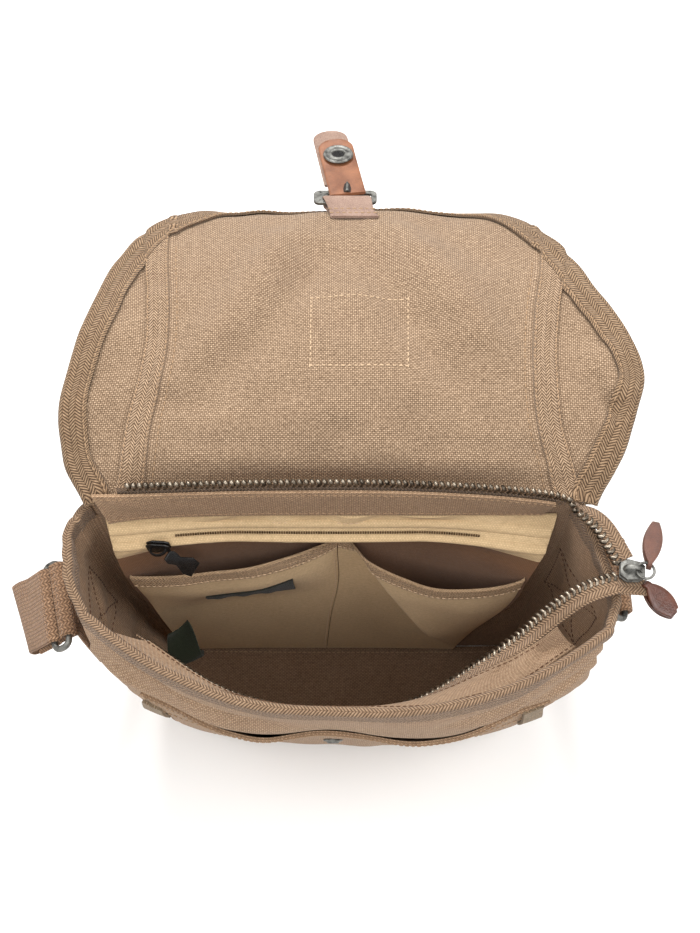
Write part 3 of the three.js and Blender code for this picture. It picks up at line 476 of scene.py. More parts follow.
FINISHES = {
    "canvas": ClothFinish("washed_canvas", "canvas", (178, 148, 120), (193, 163, 133), 0.55, 0.68),
    "flap": ClothFinish("flap_canvas", "flap_canvas", (183, 156, 129), (197, 170, 142), 0.55, 0.9),
    # Placket and gusset canvases are the wall canvas made lighter: painted light for the inner faces that lie
    # in shade.
    "placket": ClothFinish("placket_canvas", "canvas", (188, 155, 124), (202, 169, 136), 0.5, 0.7),
    "gusset": ClothFinish("gusset_canvas", "canvas", (188, 154, 123), (202, 168, 135), 0.5, 0.7),
    # The bottom's canvas is darker than the walls': painted shade for the bag's shaded inner floor.
    "base": ClothFinish("base_canvas", "canvas", (146, 118, 94), (158, 130, 106), 0.45, 0.62),
    "lining": ClothFinish("lining_cotton", "lining", (208, 180, 139), (221, 193, 151), 0.2, 0.3,
                          (0.8, 0.75)),
    "tape": ClothFinish("herringbone_tape", "tape", (140, 114, 90), (154, 127, 102), 0.9, 0.76,
                        (3.7, 1.8), Weave.HERRINGBONE),
    "seam_tape": ClothFinish("seam_tape", "tape", (172, 144, 116), (187, 158, 129), 0.9, 0.94,
                             (2.5, 1.75), Weave.HERRINGBONE),
    "edge_tape": ClothFinish("edge_tape", "tape", (146, 119, 92), (161, 134, 106), 0.9, 0.94,
                             (3.1, 1.75), Weave.HERRINGBONE),
    "inner_tape": ClothFinish("inner_tape", "tape", (198, 165, 128), (212, 179, 141), 0.9, 0.92,
                              (2.8, 1.75), Weave.HERRINGBONE),
    "shaded_lining": ClothFinish("shaded_lining", "lining", (112, 79, 54), (126, 92, 65), 0.2, 0.3,
                                 (0.8, 0.75)),
    "webbing": ClothFinish("webbing", "webbing", (144, 112, 86), (161, 128, 100), 0.9, 0.7,
                           (2.2, 1.7), Weave.WEBBING),
    "corner": ClothFinish("corner_webbing", "webbing", (140, 122, 100), (160, 141, 117), 0.5, 0.6,
                          (2.2, 1.5), Weave.HERRINGBONE),
    "label": ClothFinish("label_satin", "label", (30, 31, 27), (44, 44, 38), 0.1, 0.3, (0.4, 0.4)),
    "tag": ClothFinish("tag_cotton", "tag", (34, 40, 30), (56, 64, 46), 0.2, 0.3, (0.6, 0.6)),
    "leather": LeatherFinish("grain_leather", "leather", (155, 103, 71), (96, 57, 38),
                             0.46, 1400.0, 0.16, 0.4),
    "flesh": LeatherFinish("flesh_leather", "flesh", (182, 156, 140), (98, 70, 58), 0.92, 2600.0, 0.5, 0.7),
    "dark_leather": LeatherFinish("red_leather", "dark_leather", (108, 62, 45), (54, 28, 20),
                                  0.3, 1200.0, 0.2, 0.4),
    # Near-black leather for the prong's slot: painted shade of the hole.
    "slot_leather": LeatherFinish("slot_leather", "dark_leather", (50, 34, 26), (28, 19, 15),
                                  0.8, 1900.0, 0.1),
    "pull_leather": LeatherFinish("pull_leather", "dark_leather", (114, 72, 55), (60, 34, 26),
                                  0.44, 1900.0, 0.3, 0.5),
    "metal": MetalFinish("antique_nickel", "metal", (138, 137, 132), (78, 77, 74), 0.56),
    "zip": MetalFinish("antique_brass", "zip_metal", (160, 148, 132), (62, 55, 48), 0.38),
    "fine_zip": MetalFinish("fine_zip_metal", "zip_metal", (122, 100, 76), (78, 62, 46), 0.5),
    "black": MetalFinish("black_enamel", "black_metal", (30, 28, 28), (16, 15, 15), 0.26, 0.2),
    "thread": ClothFinish("sewing_thread", "canvas", (172, 142, 112), (186, 156, 124), 0.1, 0.2, (0.5, 0.5)),
    "dark_thread": ClothFinish("dark_thread", "canvas", (92, 64, 45), (108, 78, 56), 0.1, 0.2, (0.5, 0.5)),
    "pale_thread": ClothFinish("pale_thread", "canvas", (206, 178, 146), (222, 196, 164), 0.1, 0.2,
                               (0.5, 0.5)),
}
MATERIALS = {key: finish.material() for key, finish in FINISHES.items()}


# Meshes


def make_object(name: str, points: Array, faces: Sequence[Sequence[int]], uv: Array, finish: str,
                sharp: float = 40.0) -> bpy.types.Object:
    """Make an object of a mesh.

    Args:
        name: Name of the piece.
        points: Points in millimetres.
        faces: Point numbers of each face.
        uv: Place of each point on the flat cloth in millimetres.
        finish: Key of the finish.
        sharp: Angle in degrees past which an edge stays sharp.

    Returns:
        The object.
    """
    mesh = bpy.data.meshes.new(name)
    mesh.from_pydata((points * MM).tolist(), [], [tuple(int(i) for i in face) for face in faces])
    layer = mesh.uv_layers.new(name=UV_NAME)
    loops = np.empty(len(mesh.loops), dtype=np.int32)
    mesh.loops.foreach_get("vertex_index", loops)
    layer.data.foreach_set("uv", (uv[loops] * MM).astype(np.float32).ravel())
    mesh.materials.append(MATERIALS[finish])
    bm = bmesh.new()
    bm.from_mesh(mesh)
    if bm.calc_volume(signed=True) < 0:
        bmesh.ops.reverse_faces(bm, faces=bm.faces)
    bm.to_mesh(mesh)
    bm.free()
    mesh.shade_smooth()
    mesh.set_sharp_from_angle(angle=math.radians(sharp))
    obj = bpy.data.objects.new(name, mesh)
    bpy.context.scene.collection.objects.link(obj)
    return obj


def register(obj: bpy.types.Object, slot: str, *nodes: str) -> bpy.types.Object:
    """Let a piece ride on the bag and stand for CAD nodes.

    Args:
        obj: The piece.
        slot: Material slot of the piece; not used.
        *nodes: CAD nodes that it stands for.

    Returns:
        The piece.
    """
    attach(obj, BODY)
    if nodes:
        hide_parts(*nodes)
    LOG.info("%s: %d faces, for %s", obj.name, len(obj.data.polygons), ", ".join(nodes) or "trim")
    return obj


def cloth(name: str, surface: Surface, columns: int, rows: int, low: float, high: float, finish: str,
          size: Optional[Tuple[float, float]] = None,
          flat: Optional[Callable[[Array, Array], Array]] = None) -> bpy.types.Object:
    """A closed cloth wall between two offsets of a surface.

    Args:
        name: Name of the piece.
        surface: Surface of two parameters and a height.
        columns: Faces along the first parameter.
        rows: Faces along the second.
        low: Lower offset.
        high: Upper offset.
        finish: Key of the finish.
        size: Width and length of the flat cloth in millimetres.
        flat: Place on the flat cloth, where it isn't a plain rectangle.

    Returns:
        The object.
    """
    u, v = (a.ravel() for a in np.meshgrid(np.linspace(0, 1, columns + 1), np.linspace(0, 1, rows + 1)))
    points = np.concatenate([surface(u, v, low), surface(u, v, high)])
    place = flat(u, v) if flat else np.stack([u * size[0], v * size[1]], axis=1)
    grid = np.arange((columns + 1) * (rows + 1)).reshape(rows + 1, columns + 1)
    a, b, c, d = grid[:-1, :-1].ravel(), grid[:-1, 1:].ravel(), grid[1:, 1:].ravel(), grid[1:, :-1].ravel()
    top = grid.size
    faces = [np.stack([a, d, c, b], axis=1), np.stack([a, b, c, d], axis=1) + top]
    for line, turn in ((grid[0], 1), (grid[-1], -1), (grid[:, 0], -1), (grid[:, -1], 1)):
        wall = np.stack([line[:-1], line[1:], line[1:] + top, line[:-1] + top], axis=1)
        faces.append(wall if turn > 0 else wall[:, ::-1])
    uv = np.concatenate([place + (high - low), place])
    return make_object(name, points, np.concatenate(faces), uv, finish)


def loft(name: str, rings: Array, across: Array, along: Array, finish: str, closed: bool = False,
         sharp: float = 40.0) -> bpy.types.Object:
    """A skin over a run of equal rings.

    Args:
        name: Name of the piece.
        rings: Points, by ring and by place on the ring.
        across: Place of each ring point on the flat cloth.
        along: Place of each ring on the flat cloth.
        finish: Key of the finish.
        closed: Whether the run closes on itself.
        sharp: Angle past which an edge stays sharp.

    Returns:
        The object.
    """
    count, size = rings.shape[:2]
    index = np.arange(count * size).reshape(count, size)
    nxt = np.roll(index, -1, axis=0) if closed else index[1:]
    here = index if closed else index[:-1]
    a, b = here, np.roll(here, -1, axis=1)
    c, d = np.roll(nxt, -1, axis=1), nxt
    faces = [tuple(face) for face in np.stack([a, b, c, d], axis=-1).reshape(-1, 4)]
    if not closed:
        faces += [tuple(index[0][::-1]), tuple(index[-1])]
    uv = np.stack(np.broadcast_arrays(across[None, :], along[:, None]), axis=-1).reshape(-1, 2)
    return make_object(name, rings.reshape(-1, 3), faces, uv, finish, sharp)


def run_length(points: Array) -> Array:
    """Distance along a run of points."""
    return np.concatenate([[0.0], np.cumsum(np.linalg.norm(np.diff(points, axis=0), axis=1))])


def flat_section(thickness: float, edge: float = 0.12) -> Array:
    """Outline of a flat strip with rounded edges, as share of the half width and height.

    Args:
        thickness: Thickness of the strip.
        edge: Share of the half width that the edge rounds over.

    Returns:
        Points of the outline.
    """
    steps = np.linspace(-1 + edge, 1 - edge, 5)
    half = thickness / 2
    turn = np.radians([60, 20, -20, -60])
    right = [(1 - edge + edge * math.cos(a), half * math.sin(a)) for a in turn]
    left = [(-1 + edge - edge * math.cos(a), -half * math.sin(a)) for a in turn]
    return np.array([(s, half) for s in steps] + right + [(s, -half) for s in steps[::-1]] + left)


def strip(name: str, at: Array, across: Array, thickness: float, finish: str,
          edge: float = 0.1) -> bpy.types.Object:
    """A flat strip with rounded edges along a run of places.

    Args:
        name: Name of the piece.
        at: Middle of the strip at each place.
        across: Vector to one edge at each place.
        thickness: Thickness of the strip.
        finish: Key of the finish.
        edge: Share of the half width that the edge rounds over.

    Returns:
        The object.
    """
    ahead = np.gradient(at, axis=0)
    normal = unit(np.cross(ahead, across))
    section = flat_section(thickness, edge)
    rings = at[:, None] + across[:, None] * section[None, :, :1] + normal[:, None] * section[None, :, 1:]
    half = np.linalg.norm(across, axis=1).max()
    return loft(name, rings, section[:, 0] * half, run_length(at), finish)


# What repeats along a path


class RepeatTree:
    """A node tree that sets a small shape again and again along paths."""

    INPUTS = (("Shape", "NodeSocketObject"), ("Pitch", "NodeSocketFloat"), ("Size", "NodeSocketFloat"),
              ("Sway", "NodeSocketFloat"), ("Seed", "NodeSocketInt"), ("Finish", "NodeSocketMaterial"))

    def __init__(self) -> None:
        """Build the tree."""
        tree = bpy.data.node_groups.new("repeat_along_path", "GeometryNodeTree")
        face = tree.interface
        face.new_socket("Geometry", in_out="INPUT", socket_type="NodeSocketGeometry")
        self.sockets = {name: face.new_socket(name, in_out="INPUT", socket_type=kind).identifier
                        for name, kind in self.INPUTS}
        face.new_socket("Geometry", in_out="OUTPUT", socket_type="NodeSocketGeometry")
        new = tree.nodes.new
        source, out = new("NodeGroupInput"), new("NodeGroupOutput")
        curve, resample = new("GeometryNodeMeshToCurve"), new("GeometryNodeResampleCurve")
        resample.mode = "LENGTH"
        shape, place = new("GeometryNodeObjectInfo"), new("GeometryNodeInstanceOnPoints")
        tangent, side = new("GeometryNodeInputTangent"), new("GeometryNodeInputNamedAttribute")
        side.data_type = "FLOAT_VECTOR"
        side.inputs["Name"].default_value = "side"
        axes, wobble = new("FunctionNodeAxesToRotation"), new("FunctionNodeRandomValue")
        axes.primary_axis, axes.secondary_axis = "X", "Z"
        wobble.data_type = "FLOAT"
        shrink, realize = new("ShaderNodeMath"), new("GeometryNodeRealizeInstances")
        shrink.operation = "SUBTRACT"
        scale, paint = new("ShaderNodeMath"), new("GeometryNodeSetMaterial")
        scale.operation = "MULTIPLY"
        shrink.inputs[0].default_value = 1.0
        wobble.inputs[3].default_value = 1.0
        for start, output, end, entry in (
                (source, "Geometry", curve, "Mesh"), (curve, "Curve", resample, "Curve"),
                (source, "Pitch", resample, "Length"), (resample, "Curve", place, "Points"),
                (source, "Shape", shape, "Object"), (shape, "Geometry", place, "Instance"),
                (tangent, 0, axes, 0), (side, 0, axes, 1), (axes, 0, place, "Rotation"),
                (source, "Sway", shrink, 1), (shrink, 0, wobble, 2), (source, "Seed", wobble, "Seed"),
                (wobble, 1, scale, 0), (source, "Size", scale, 1), (scale, 0, place, "Scale"),
                (place, "Instances", realize, "Geometry"), (realize, "Geometry", paint, "Geometry"),
                (source, "Finish", paint, "Material"), (paint, "Geometry", out, "Geometry")):
            tree.links.new(start.outputs[output], end.inputs[entry])
        self.tree = tree

    def along(self, name: str, runs: Sequence[Tuple[Array, Array]], shape: bpy.types.Object, pitch: float,
              finish: str, sway: float = 0.0, seed: int = 1) -> bpy.types.Object:
        """Set a shape along runs of points.

        Args:
            name: Name of the piece.
            runs: Points of each run, with the way up at each point.
            shape: The shape, in metres.
            pitch: Distance between shapes in millimetres.
            finish: Key of the finish.
            sway: Share by which the size varies.
            seed: Seed of the variation.

        Returns:
            The object, a plain mesh.
        """
        points = np.concatenate([run for run, _ in runs]) * MM
        sides = np.concatenate([np.broadcast_to(up, run.shape) for run, up in runs])
        edges, start = [], 0
        for run, _ in runs:
            edges += [(start + i, start + i + 1) for i in range(len(run) - 1)]
            start += len(run)
        mesh = bpy.data.meshes.new(name + "_paths")
        mesh.from_pydata(points.tolist(), edges, [])
        way_up = mesh.attributes.new("side", "FLOAT_VECTOR", "POINT")
        way_up.data.foreach_set("vector", sides.astype(np.float32).ravel())
        paths = bpy.data.objects.new(name + "_paths", mesh)
        bpy.context.scene.collection.objects.link(paths)
        modifier = paths.modifiers.new("repeat", "NODES")
        modifier.node_group = self.tree
        values = {"Shape": shape, "Pitch": pitch * MM, "Size": 1.0, "Sway": sway, "Seed": seed,
                  "Finish": MATERIALS[finish]}
        for key, value in values.items():
            modifier[self.sockets[key]] = value
        whole = paths.evaluated_get(bpy.context.evaluated_depsgraph_get())
        made = bpy.data.meshes.new_from_object(whole)
        paths.modifiers.clear()
        bpy.data.objects.remove(paths)
        made.name = name
        made.shade_smooth()
        obj = bpy.data.objects.new(name, made)
        bpy.context.scene.collection.objects.link(obj)
        return obj


def ring_faces(rings: int, sides: int) -> Sequence[Tuple[int, ...]]:
    """Faces between rings of equal points.

    Args:
        rings: How many rings there are.
        sides: Points of each ring.

    Returns:
        Point numbers of each face.
    """
    faces = []
    for k in range(rings - 1):
        for i in range(sides):
            a, b = k * sides + i, k * sides + (i + 1) % sides
            faces.append((a, b, b + sides, a + sides))
    return faces


def small_shape(name: str, rings: Sequence[Tuple[float, float, float]], sides: int) -> bpy.types.Object:
    """A small closed shape of rings along x, to be repeated.

    Args:
        name: Name of the shape.
        rings: Place along x, half width along y and half height along z of each ring, in millimetres.
        sides: Points of each ring.

    Returns:
        The object.
    """
    turn = (np.arange(sides) + 0.5) * 2 * np.pi / sides
    points = np.concatenate([vec(np.full(sides, x), w * np.cos(turn), h * np.sin(turn)) for x, w, h in rings])
    last = (len(rings) - 1) * sides
    ends = [tuple(range(sides))[::-1], tuple(range(last, last + sides))]
    faces = ring_faces(len(rings), sides) + ends
    return make_object(name, points, faces, np.zeros((len(points), 2)), "thread", 180.0)


def chevron(name: str, length: float, width: float, height: float) -> bpy.types.Object:
    """A zip tooth, a chevron with its point along x.

    Args:
        name: Name of the shape.
        length: Half length.
        width: Half width.
        height: Half height.

    Returns:
        The object.
    """
    plan = np.array([(-1, -1), (0.15, -0.9), (1, 0), (0.15, 0.9), (-1, 1), (-0.25, 0)])
    levels = ((0.75, -1.0), (1.0, -0.55), (1.0, 0.55), (0.75, 1.0))
    points = np.concatenate([vec(plan[:, 0] * length * s, plan[:, 1] * width * s, h * height)
                             for s, h in levels])
    top = (len(levels) - 1) * len(plan)
    low_ends = [(5, 4, 3, 2), (5, 2, 1, 0)]
    high_ends = [(top + 2, top + 3, top + 4, top + 5), (top, top + 1, top + 2, top + 5)]
    faces = ring_faces(len(levels), len(plan)) + low_ends + high_ends
    return make_object(name, points, faces, np.zeros((len(points), 2)), "thread", 180.0)


@dataclass
class Sewing:
    """Stitches, set along the seams of every piece."""

    tree: RepeatTree
    length: float = 2.5
    width: float = 0.42
    height: float = 0.34
    pitch: float = 3.3
    stitch: bpy.types.Object = field(init=False)

    def __post_init__(self) -> None:
        """Make one stitch."""
        half = self.length / 2
        rings = [(-half, 0.3 * self.width, 0.1), (-0.6 * half, self.width, self.height),
                 (0.6 * half, self.width, self.height), (half, 0.3 * self.width, 0.1)]
        self.stitch = small_shape("stitch_shape", rings, 6)

    def sew(self, name: str, runs: Sequence[Tuple[Array, Array]], slot: str, seed: int,
            thread: str = "thread") -> bpy.types.Object:
        """Sew along runs of points, each with the way up."""
        return register(self.tree.along(name, runs, self.stitch, self.pitch, thread, 0.2, seed), slot)

    def clear(self) -> None:
        """Remove the shape that was repeated."""
        bpy.data.objects.remove(self.stitch)


def surface_run(surface: Surface, u: Array, v: Array, h: float, flip: float = 1.0) -> Tuple[Array, Array]:
    """A run of points on a surface with the way up.

    Args:
        surface: The surface.
        u: First parameter, of each point or of all.
        v: Second parameter.
        h: Height off the surface.
        flip: Minus one where up is against the surface's own height.

    Returns:
        The points and the way up.
    """
    u, v = together(u, v)
    at = surface(u, v, h)
    return at, unit(surface(u, v, h + flip) - at)


# Body


@dataclass
class BodyForm:
    """The wall that runs round both sides and the front, by place along (0 to 3) and height."""

    sections: Table = table("z backLeft backRight frontLeft frontRight leftY rightY front left right full", [
        [0, -113, 108, -106, 106, -20, -22, 12, 3, 3, 4],
        [14, -119, 113, -113, 113, -22, -24, 13, 4, 4, 4],
        [80, -125, 118, -130, 130, -28, -33, 23, 9, 6, 3.8],
        [150, -130, 123, -137, 139, -33, -39, 36, 14, 8, 3.6],
        [215, -134, 127, -138, 138, -29, -38, 53, 17, 8, 2.1]])
    rim: Table = table("along top", [
        [0, 209], [0.4, 206], [1, 204], [1.5, 203.5], [2, 205], [2.6, 207], [3, 209]])

    def section(self, z: Array) -> Dict[str, Array]:
        """Corners, lengths and bulges of the wall at a height.

        Args:
            z: Height.

        Returns:
            Corners, lengths, fullness and stand of the panels.
        """
        get = {name: self.sections.smooth("z", name, z) for name in self.sections.names[1:]}
        back = np.full_like(get["front"], BACK_Y)
        corners = np.array([[get["backLeft"], back], [get["frontLeft"], get["leftY"]],
                            [get["frontRight"], get["rightY"]], [get["backRight"], back]])
        lengths = np.linalg.norm(corners[1:] - corners[:-1], axis=1)
        return {"corners": corners, "lengths": lengths, "full": get["full"],
                "stand": np.array([get["left"], get["front"], get["right"]])}

    @staticmethod
    def raw(sec: Dict[str, Array], run: Array) -> Array:
        """Places on the wall before its corners are rounded.

        Args:
            sec: Sections of the wall, one for each point.
            run: Distance of each point along the wall.

        Returns:
            Places seen from above.
        """
        count = np.arange(run.size)
        lengths = sec["lengths"]
        panel = (run > lengths[0]).astype(int) + (run > lengths[0] + lengths[1]).astype(int)
        before = np.concatenate([[np.zeros(run.size)], np.cumsum(lengths, axis=0)])[panel, count]
        length = lengths[panel, count]
        s = np.clip((run - before) / length, 0, 1)
        start, end = sec["corners"][panel, :, count], sec["corners"][panel + 1, :, count]
        out = np.stack([end[:, 1] - start[:, 1], start[:, 0] - end[:, 0]], axis=1) / length[:, None]
        skewed = s**0.6
        shape = np.where(panel == 1, 1 - np.abs(2 * s - 1) ** sec["full"], 4 * skewed * (1 - skewed))
        return mix(start, end, s[:, None]) + out * (sec["stand"][panel, count] * shape)[:, None]

    def at(self, along: Array, z: Array) -> Array:
        """Points of the wall.

        Args:
            along: Place along the wall.
            z: Height.

        Returns:
            The points.
        """
        along, z = together(along, z)
        sec = self.section(z)
        panel = np.minimum(along.astype(int), 2)
        count = np.arange(along.size)
        total = sec["lengths"].sum(axis=0)
        before = np.concatenate([[np.zeros(along.size)], np.cumsum(sec["lengths"], axis=0)])[panel, count]
        run = before + (along - panel) * sec["lengths"][panel, count]
        reach = np.minimum(CORNER_ROUND, np.minimum(run, total - run))
        near = sum(self.raw(sec, run + k * reach) for k in (-1, -0.5, 0, 0.5, 1)) / 5
        return vec(near[:, 0], near[:, 1], z)

    def folds(self, along: Array, z: Array) -> Array:
        """How far soft folds stand out from the plain wall.

        Args:
            along: Place along the wall.
            z: Height.

        Returns:
            Heights of the folds.
        """
        x = along * 110
        low = np.clip(z / 40, 0, 1)
        waves = 0.7 * ripple(x, z, 58, 3) + 0.3 * ripple(x, z, 21, 4)
        seam = 1.3 * (bump(along, 1.0, 0.012) + bump(along, 2.0, 0.012))
        right = 2.8 * np.sin(z / 3.9 + 9 * along) * bump(along, 1.92, 0.08) * bump(z, 165, 26)
        left = 1.5 * np.sin(z / 4.6 - 8 * along) * bump(along, 1.07, 0.06) * bump(z, 160, 30)
        slack = -2.2 * crease(x, z, (116, 196), (140, 120), 7) - 1.8 * crease(x, z, (212, 198), (196, 130), 7)
        slack = slack - 3.2 * crease(x, z, (106, 184), (154, 172), 3)
        slack = slack + 2.4 * crease(x, z, (106, 168), (160, 162), 4)
        pleats = -3.0 * crease(x, z, (184, 177), (221, 187), 3.2)
        pleats = pleats + 2.4 * crease(x, z, (188, 167), (221, 178), 3.4)
        pleats = pleats - 2.6 * crease(x, z, (190, 157), (221, 168), 3.2)
        crosses = sum(crease(x, z, (a, b), (a + 66, 270 - b), 3.0) for a in (29, 258) for b in (108, 162))
        sides = bump(along, 0.45, 0.3) + bump(along, 2.55, 0.3)
        dents = -2.2 * np.maximum(np.sin(z / 11 + 4 * along), 0) * sides * bump(z, 150, 60)
        ends = np.clip(np.minimum(along, 3 - along) / 0.15, 0, 1)
        return ends * low * (waves + seam + right + left + slack + dents + pleats + crosses)

    @staticmethod
    def slack(along: Array, z: Array) -> Array:
        """How far the front sags out over the mouth of the front pocket."""
        gape = mouth_gape((along - POCKET_START) / (POCKET_END - POCKET_START))
        return 6.5 * gape * bump(z, 153, np.where(z < 153, 15.0, 26.0))

    def wall(self, along: Array, z: Array, h: Array, folded: bool = True) -> Array:
        """Points off the wall.

        Args:
            along: Place along the wall.
            z: Height.
            h: Distance off the wall.
            folded: Whether the soft folds count.

        Returns:
            The points.
        """
        along, z, h = together(along, z, h)
        du = self.at(np.minimum(along + 0.01, 3), z) - self.at(np.maximum(along - 0.01, 0), z)
        dv = self.at(along, z + 0.5) - self.at(along, z - 0.5)
        out = h + (self.folds(along, z) if folded else 0)
        return self.at(along, z) + unit(np.cross(du, dv)) * out[:, None]

    def top(self, along: Array) -> Array:
        """Height of the open edge."""
        return self.rim.smooth("along", "top", along)


@dataclass
class Body:
    """Walls, bottom and bound rim."""

    form: BodyForm
    sewing: Sewing
    hem: float = 11.0
    turned_up: float = 5.0

    def build(self) -> None:
        """Make the walls, the bottom and the rim."""
        form = self.form
        for name, start, end, columns, width in (("gusset_left", 0.004, 0.9998, 48, 66),
                                                 ("front_panel", 1.0, 2.0, 150, 300),
                                                 ("gusset_right", 2.0002, 2.996, 48, 74)):
            def panel(u: Array, v: Array, h: float, a: float = start, b: float = end) -> Array:
                """Wall of one panel.

                Args:
                    u: Share of the way across.
                    v: Share of the way up.
                    h: Distance off the surface.
                    a: Where the panel starts along the wall.
                    b: Where it ends.

                Returns:
                    The points.
                """
                along = mix(a, b, u)
                z = v * form.top(along)
                return form.wall(along, z, h + form.slack(along, z))
            finish = "canvas" if name == "front_panel" else "gusset"
            piece = register(cloth(name + "_cloth", panel, columns, 90, -CANVAS, 0, finish, (width, 205)),
                             "canvas", name)
        self.back()
        self.bottom()
        self.rim()

    def back(self) -> None:
        """Make the back wall."""
        def panel(u: Array, v: Array, h: float) -> Array:
            """Wall of the back.

            Args:
                u: Share of the way across.
                v: Share of the way up.
                h: Distance off the surface.

            Returns:
                The points.
            """
            z = v * BODY_HEIGHT
            corners = self.form.section(z)["corners"]
            flange = 5.0 * np.clip((212 - z) / 5, 0, 1)
            x = mix(corners[0, 0] - flange, corners[3, 0] + flange, u)
            edge = np.clip(8 * u, 0, 1) * np.clip(8 * (1 - u), 0, 1)
            edge = edge * np.clip(5 * v, 0, 1) * np.clip(5 * (1 - v), 0, 1)
            soft = np.maximum(0.9 * ripple(x, z, 60, 11) + 0.4 * ripple(x, z, 24, 12) + 0.6, 0) * edge
            return vec(x, BACK_Y + h + soft, z)
        piece = register(cloth("back_panel_cloth", panel, 100, 84, -CANVAS, 0, "canvas", (255, 215)),
                         "canvas", "back_panel")

    def bottom(self) -> None:
        """Make the bottom."""
        def edge(along: Array) -> Array:
            """Inner face of the walls where the turned-up edge of the bottom meets them."""
            return self.form.wall(along, self.turned_up, -CANVAS - 4 * GAP)

        def panel(u: Array, v: Array, h: float) -> Array:
            """Upper or lower face of the bottom.

            Args:
                u: Share of the way across.
                v: Share of the way to the back.
                h: Height of the face.

            Returns:
                The points.
            """
            across, deep = u[:, None], v[:, None]
            ends = [edge(place) for place in (1.0, 2.0, 0.04, 2.96)]
            sides = mix(edge(1 - 0.96 * v), edge(2 + 0.96 * v), across)
            lengths = mix(edge(1 + u), mix(ends[2], ends[3], across), deep)
            at = sides + lengths - mix(mix(ends[0], ends[1], across), mix(ends[2], ends[3], across), deep)
            inward = np.minimum(np.minimum(u, 1 - u) * 212, v * 62)
            lip = self.turned_up * np.clip(1 - inward / 2.5, 0, 1) ** 2
            at[:, 2] = h + lip + (0.5 * np.maximum(ripple(at[:, 0], at[:, 1], 40, 21), 0) if h > 0 else 0)
            return at
        piece = register(cloth("bottom_panel_cloth", panel, 170, 50, 0, CANVAS, "base", (212, 62)),
                         "canvas", "bottom_panel")
        line = np.linspace(0.03, 0.97, 120)
        runs = [surface_run(panel, line, 0.93, CANVAS + 0.2)]
        self.sewing.sew("bottom_stitches", runs, "canvas", 31)

    def rim(self) -> None:
        """Fold the binding over the open edge and sew it."""
        along = np.linspace(0.012, 2.988, 420)
        section = channel_section(self.hem, GAP)
        rings = np.stack([self.form.wall(along, self.form.top(along) - d, h - CANVAS / 2)
                          for d, h in section], axis=1)
        across = run_length(vec(section[:, 0], section[:, 1], 0))
        piece = loft("rim_binding_tape", rings, across, run_length(rings[:, 0]), "tape")
        register(piece, "tape", "rim_binding")

        def below(u: Array, v: Array, h: float) -> Array:
            """Wall by depth below its open edge."""
            return self.form.wall(u, self.form.top(u) - v, h)
        over, depth = CANVAS / 2 + GAP + TAPE, self.hem - 1.6
        runs = [surface_run(below, along, depth, over - CANVAS / 2 + 0.1),
                surface_run(below, along, depth, -over - CANVAS / 2 - 0.1, -1.0)]
        self.sewing.sew("rim_stitches", runs, "tape", 32)


def channel_section(width: float, clear: float) -> Array:
    """Section of a binding folded over an edge, as depth from the edge and height off the cloth.

    Args:
        width: Depth of the binding.
        clear: Space between binding and cloth.

    Returns:
        Points of the section, the outer face first.
    """
    inner = CANVAS / 2 + clear
    outer = inner + TAPE + 0.35
    fold = clear + TAPE
    turn = np.radians([90, 60, 30, 0, -30, -60, -90])
    legs = np.array([1.0, 0.985, 0.75, 0.5, 0.25])
    swell = np.array([outer - 0.55, outer, outer + 0.12, outer + 0.12, outer])
    top = [(width * s, h) for s, h in zip(legs, swell)]
    round_end = [(-fold * math.cos(a), outer * math.sin(a)) for a in turn]
    low = [(d, -h) for d, h in reversed(top)]
    inside = [(width, -inner), (0.0, -inner), (-clear, 0.0), (0.0, inner), (width, inner)]
    return np.array(top + round_end + low + inside)


# Flap


